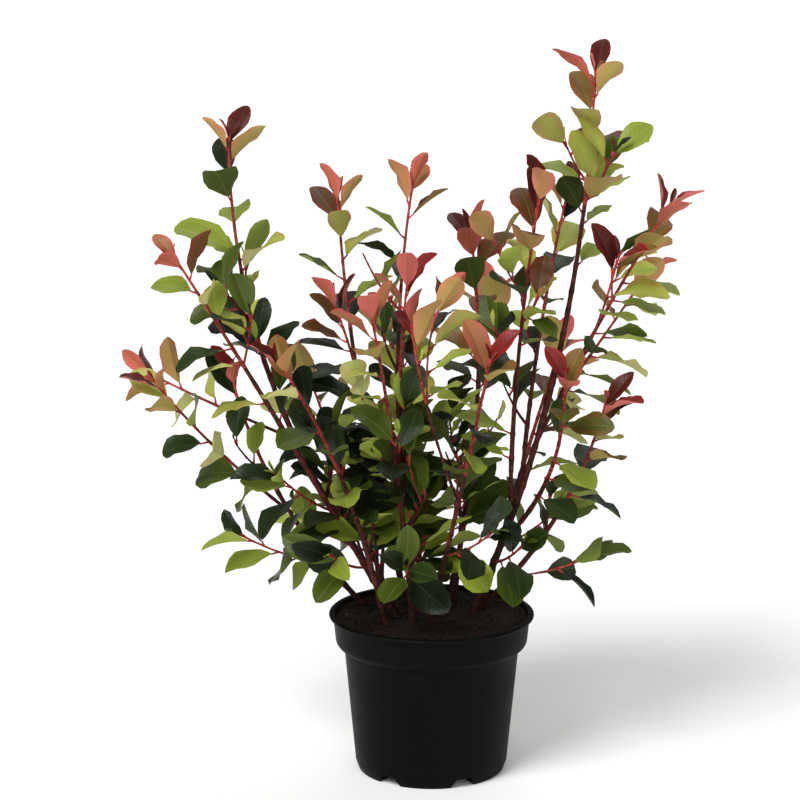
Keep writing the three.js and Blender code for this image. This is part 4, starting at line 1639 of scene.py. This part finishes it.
@dataclass
class Foliage:
    """The leaves: closed blades with a folded midrib, an underside of their own and a red stalk."""

    shrub: Shrub
    rows: tuple[float, ...] = (0.06, 0.2, 0.36, 0.53, 0.7, 0.85, 0.955)
    fullness: float = 1.12
    wedge: float = 0.92
    bluntness: float = 0.66
    arch: Pair = (-0.06, 0.16)
    zone: float = 0.58
    zone_play: float = 0.12
    twist: float = 15
    # The twist and the droop start at this share of a leaf, and the droop grows by the square of the
    # rest, which this sets to one at the tip
    still_share: float = 0.3
    full_droop: float = 0.49
    sway: float = 0.05
    midrib_half: float = 0.34
    midrib_share: float = 0.3
    long_leaf: float = 55
    thickness: float = 0.36
    rib_depth: float = 0.35
    groove_depth: float = 0.4
    wave: float = 0.16
    wave_count: Pair = (1.2, 2.2)
    droop: float = 0.15
    droop_play: Pair = (0.3, 1.7)
    stalk_radius: float = 1.0
    # Where the two ends of the stalk are, as shares of it, and how thick
    stalk_ends: tuple[Pair, ...] = ((0.0, 1.35), (1.06, 0.8))
    stalk_overlap: float = 0.02
    crease: float = 60
    ripeness_play: float = 0.2
    tint_seed: int = 500
    seed: int = 11
    # Each column of points across a blade: its side, its share of the way to the margin (None where
    # the midrib's zone ends) and its skin, 1 above, 0 at the margin and -1 beneath
    columns: tuple[tuple[int, float | None, int], ...] = (
        (-1, 1, 0), (-1, None, 1), (-1, 0, 1), (1, 0, 1), (1, None, 1),
        (1, 1, 0), (1, None, -1), (1, 0, -1), (-1, 0, -1), (-1, None, -1),
    )
    # The part of a leaf that lies between each column and the next, numbered as in blade_faces
    strips: tuple[int, ...] = (1, 0, 2, 0, 1, 4, 3, 5, 3, 4)

    def half_widths(self) -> np.ndarray:
        """Gives the half width of a blade at its rows, as shares of the widest."""
        at = np.array(self.rows)
        widest = self.wedge / (self.wedge + self.bluntness)
        fullest = widest**self.wedge * (1 - widest) ** self.bluntness
        return at**self.wedge * (1 - at) ** self.bluntness / fullest

    def blade_faces(self) -> tuple[list[Face], list[int]]:
        """Lists a leaf's faces.

        Returns:
            The corners of each face, and each face's part: 0 face, 1 its edge, 2 its rib, 3 underside,
            4 its edge, 5 its rib and 6 stalk.
        """
        foot, tip, around = 0, 1, len(self.columns)
        rows = [2 + around * row for row in range(len(self.rows))]
        faces, parts = [], []
        for left, part in enumerate(self.strips):
            right = (left + 1) % around
            faces.append((foot, rows[0] + right, rows[0] + left))
            for row, above in zip(rows, rows[1:]):
                face = (row + left, row + right, above + right, above + left)
                # The underside starts each face a corner later, so that both skins fold the same way
                faces.append(face if part < 3 else face[1:] + face[:1])
            faces.append((rows[-1] + left, rows[-1] + right, tip))
            parts += [part] * (len(rows) + 1)
        stalk = rows[-1] + around
        for side in range(3):
            a, b = stalk + side, stalk + (side + 1) % 3
            faces.append((a, b, b + 3, a + 3))
        faces += [(stalk + 2, stalk + 1, stalk), (stalk + 3, stalk + 4, stalk + 5)]
        return faces, parts + [6] * 5

    def flat_places(self) -> np.ndarray:
        """Gives each of a leaf's points its place on the flat blade.

        Returns:
            The share along the blade and the share out from its midrib, a row for each point.
        """
        flat = [(0.0, 0.0), (1.0, 0.0)]
        for share in self.rows:
            flat += [(share, 0.5 if aside is None else float(aside)) for _, aside, _ in self.columns]
        return np.array(flat + [(0.0, 0.0)] * 6)

    def leaf_points(self, leaf: Leaf, chance: np.random.Generator) -> np.ndarray:
        """Shapes one leaf.

        Args:
            leaf: its place, turn and size.
            chance: the stream of its small irregularities.

        Returns:
            Its points in millimetres.
        """
        at = np.array(self.rows)
        blade = leaf.length - leaf.petiole
        half = leaf.width * self.fullness / 2 * self.half_widths()
        curl = self.droop * leaf.length * chance.uniform(*self.droop_play)
        sway = self.sway * leaf.length * chance.normal()
        phase = chance.uniform(0, 2 * np.pi, 2)
        waves = chance.uniform(*self.wave_count)
        arch = chance.uniform(*self.arch)
        turned = math.radians(self.twist) * chance.normal() * (at - self.still_share)
        middle = self.zone + self.zone_play * chance.uniform(-1, 1, (2, len(at)))
        rib = np.minimum(half * self.midrib_share, self.midrib_half * leaf.length / self.long_leaf)

        def spine(share: np.ndarray) -> np.ndarray:
            """Gives points of the midrib: how far along, aside and up."""
            along = leaf.petiole + blade * share
            total = along / leaf.length
            drop = curl * np.maximum(0, total - self.still_share) ** 2 / self.full_droop
            return np.stack([along, sway * np.sin(np.pi * total / 2) ** 2, -drop], axis=-1)

        midrib = spine(at)
        rows = np.zeros((len(at), len(self.columns), 3))
        for column, (side, share, skin) in enumerate(self.columns):
            if share is None:
                share = middle[0 if side < 0 else 1]
            reach = rib + (half - rib) * share
            turn = 2 * np.pi * waves * at + phase[0 if side < 0 else 1]
            ripple = self.wave * half * np.square(share) * np.sin(turn)
            # Both skins dip at the rib, which stands out beneath
            dip = self.rib_depth * {1: self.groove_depth, 0: 0.0, -1: 1.0}[skin] * (1 - share)
            rise = reach * math.tan(leaf.fold) + 4 * arch * half * share * (1 - share) + ripple
            rise = rise + skin * self.thickness / 2 - dip
            rows[:, column, 0] = midrib[:, 0]
            rows[:, column, 1] = midrib[:, 1] + side * reach * np.cos(turned) - rise * np.sin(turned)
            rows[:, column, 2] = midrib[:, 2] + side * reach * np.sin(turned) + rise * np.cos(turned)
        stalk = np.zeros((2, 3, 3))
        for ring, (place, size) in enumerate(self.stalk_ends):
            radius = self.stalk_radius * size
            for side in range(3):
                angle = 2 * np.pi * side / 3 + np.pi / 2
                stalk[ring, side] = (
                    leaf.petiole * place + self.stalk_overlap * blade * ring,
                    radius * math.cos(angle),
                    radius * math.sin(angle) - self.rib_depth / 2 * ring,
                )
        ends = spine(np.array([0.0, 1.0]))
        local = np.concatenate([ends, rows.reshape(-1, 3), stalk.reshape(-1, 3)])
        level = leaf.base + local[:, :1] * leaf.direction + local[:, 1:2] * leaf.across
        return level + local[:, 2:] * leaf.upper

    def tints(self, growth: Growth) -> list[Tint]:
        """Deals a shoot's leaves their tints by their age.

        Args:
            growth: what has grown on the shoot.

        Returns:
            One of the looks of its stage for each leaf.
        """
        draw = Draws(growth.shoot.seed + self.tint_seed)
        dealt = []
        for leaf in growth.leaves:
            ripeness = leaf.ripeness + self.ripeness_play * (draw() - 0.5)
            looks = next((looks for limit, looks in STAGES if ripeness < limit), STAGES[-1][1])
            dealt.append(looks[int(len(looks) * draw())])
        return dealt

    def skins(self, tint: Tint) -> list[LeafSkin]:
        """Lists the finishes of a tint's seven parts, in the order of blade_faces.

        Args:
            tint: the tint.

        Returns:
            The finishes.
        """
        face, edge, rib, under, under_edge, under_rib = tint.value
        word = tint.name.lower()
        stalk = "#b43c3e" if tint in (Tint.WINE, Tint.RUBY, Tint.CORAL, Tint.BRONZE) else "#86282a"
        return [
            LeafSkin(f"{word} waxy leaf face", face, 0.38),
            LeafSkin(f"{word} waxy leaf edge", edge, 0.38),
            LeafSkin(f"{word} rib on the face", rib, 0.45, vein_mm=0.02),
            LeafSkin(f"{word} leaf underside", under, 0.6, specular=0.14, vein_mm=0.25),
            LeafSkin(f"{word} edge of the underside", under_edge, 0.6, specular=0.14, vein_mm=0.25),
            LeafSkin(f"{word} rib beneath", under_rib, 0.6, specular=0.1, vein_mm=0.02),
            LeafSkin(f"{word} leaf stalk", stalk, 0.45, vein_mm=0.02),
        ]

    def build(self) -> list[Object]:
        """Makes the leaves, joined in pieces.

        Returns:
            The dressed pieces.
        """
        chance = np.random.default_rng(self.seed)
        faces, parts = self.blade_faces()
        flat = self.flat_places()
        materials = [skin.material() for tint in Tint for skin in self.skins(tint)]
        first_slots = {tint: number * (1 + max(parts)) for number, tint in enumerate(Tint)}
        leaves = [leaf for growth in self.shrub.growths for leaf in growth.leaves]
        dealt = [tint for growth in self.shrub.growths for tint in self.tints(growth)]
        triangles = len(leaves) * sum(len(face) - 2 for face in faces)
        share = math.ceil(len(leaves) / math.ceil(triangles / TRIANGLES_PER_PIECE))
        pieces = []
        for number, first in enumerate(range(0, len(leaves), share), 1):
            points, corners, picked = [], [], []
            for leaf, tint in zip(leaves[first : first + share], dealt[first : first + share]):
                start = len(points) * len(flat)
                points.append(self.leaf_points(leaf, chance))
                corners += [tuple(start + corner for corner in face) for face in faces]
                picked += [first_slots[tint] + part for part in parts]
            piece = mesh_piece(f"leaves_{number}", np.concatenate(points), corners, picked)
            set_materials(piece, materials)
            loops = np.array([corner for face in corners for corner in face])
            blade_map = piece.data.uv_layers.new(name="blade")
            blade_map.data.foreach_set("uv", flat[loops % len(flat)].ravel())
            smooth(piece, self.crease)
            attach(piece, "root")
            pieces.append(piece)
        LOG.info("%d leaves in %d pieces", len(leaves), len(pieces))
        return pieces


@dataclass
class Studio:
    """The pale floor, the soft light and the camera at the photograph's angle."""

    floor_size: float = 120.0
    floor_tone: float = 0.93
    camera_place: Place = (-0.0292, -2.5, 0.8855)
    pitch_down: float = 12.1
    sensor_mm: float = 36
    lens_mm: float = 126.2
    ambient: float = 0.26

    def sun(self, name: str, energy: float, softness: float, turn: float, height: float) -> None:
        """Hangs a broad soft light that is even over the whole floor.

        Args:
            name: the light's name.
            energy: its strength.
            softness: its width as seen from the object, in degrees.
            turn: its bearing from the camera's side, positive to the right, in degrees.
            height: its height above level, in degrees.
        """
        tilt = math.radians(90 - height)
        bpy.ops.object.light_add(type="SUN", rotation=(tilt, 0, math.radians(turn)))
        light = bpy.context.object
        light.name = name
        light.data.energy = energy
        light.data.angle = math.radians(softness)

    def build(self) -> None:
        """Lays the floor, hangs the lights and sets the camera."""
        deselect_all()
        bpy.ops.mesh.primitive_plane_add(size=self.floor_size, location=(0, 0, 0))
        floor = bpy.context.object
        floor.name = "studio_floor"
        values = {"Base Color": (*[self.floor_tone] * 3, 1), "Roughness": 1.0, "Specular IOR Level": 0.0}
        set_materials(floor, [new_material("pale matt studio paper", values)[0]])

        world = bpy.data.worlds.new("studio")
        world.use_nodes = True
        sky = world.node_tree.nodes["Background"]
        sky.inputs["Color"].default_value = (1, 1, 1, 1)
        sky.inputs["Strength"].default_value = self.ambient
        bpy.context.scene.world = world
        self.sun("key", energy=2.75, softness=30, turn=-38, height=46)
        self.sun("front", energy=1.6, softness=60, turn=14, height=15)
        self.sun("back", energy=0.8, softness=50, turn=165, height=55)

        tilt = math.radians(90 - self.pitch_down)
        bpy.ops.object.camera_add(location=self.camera_place, rotation=(tilt, 0, 0))
        camera = bpy.context.object
        camera.name = "photograph_camera"
        camera.data.sensor_width = self.sensor_mm
        camera.data.lens = self.lens_mm
        camera.data.clip_end = 2 * self.floor_size
        bpy.context.scene.camera = camera
        bpy.context.scene.view_settings.view_transform = "Standard"


def main() -> None:
    """Builds the scene piece by piece."""
    logging.basicConfig(level=logging.INFO, format="%(name)s: %(message)s")
    Studio().build()
    pot = GrowingPot()
    LOG.info("built %s", pot.build().name)
    shrub = Shrub(Habit())
    shrub.grow()
    for maker in (Soil(pot), Wood(shrub), Foliage(shrub)):
        LOG.info("built %s", ", ".join(piece.name for piece in maker.build()))
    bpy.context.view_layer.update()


if __name__ == "__main__":
    main()
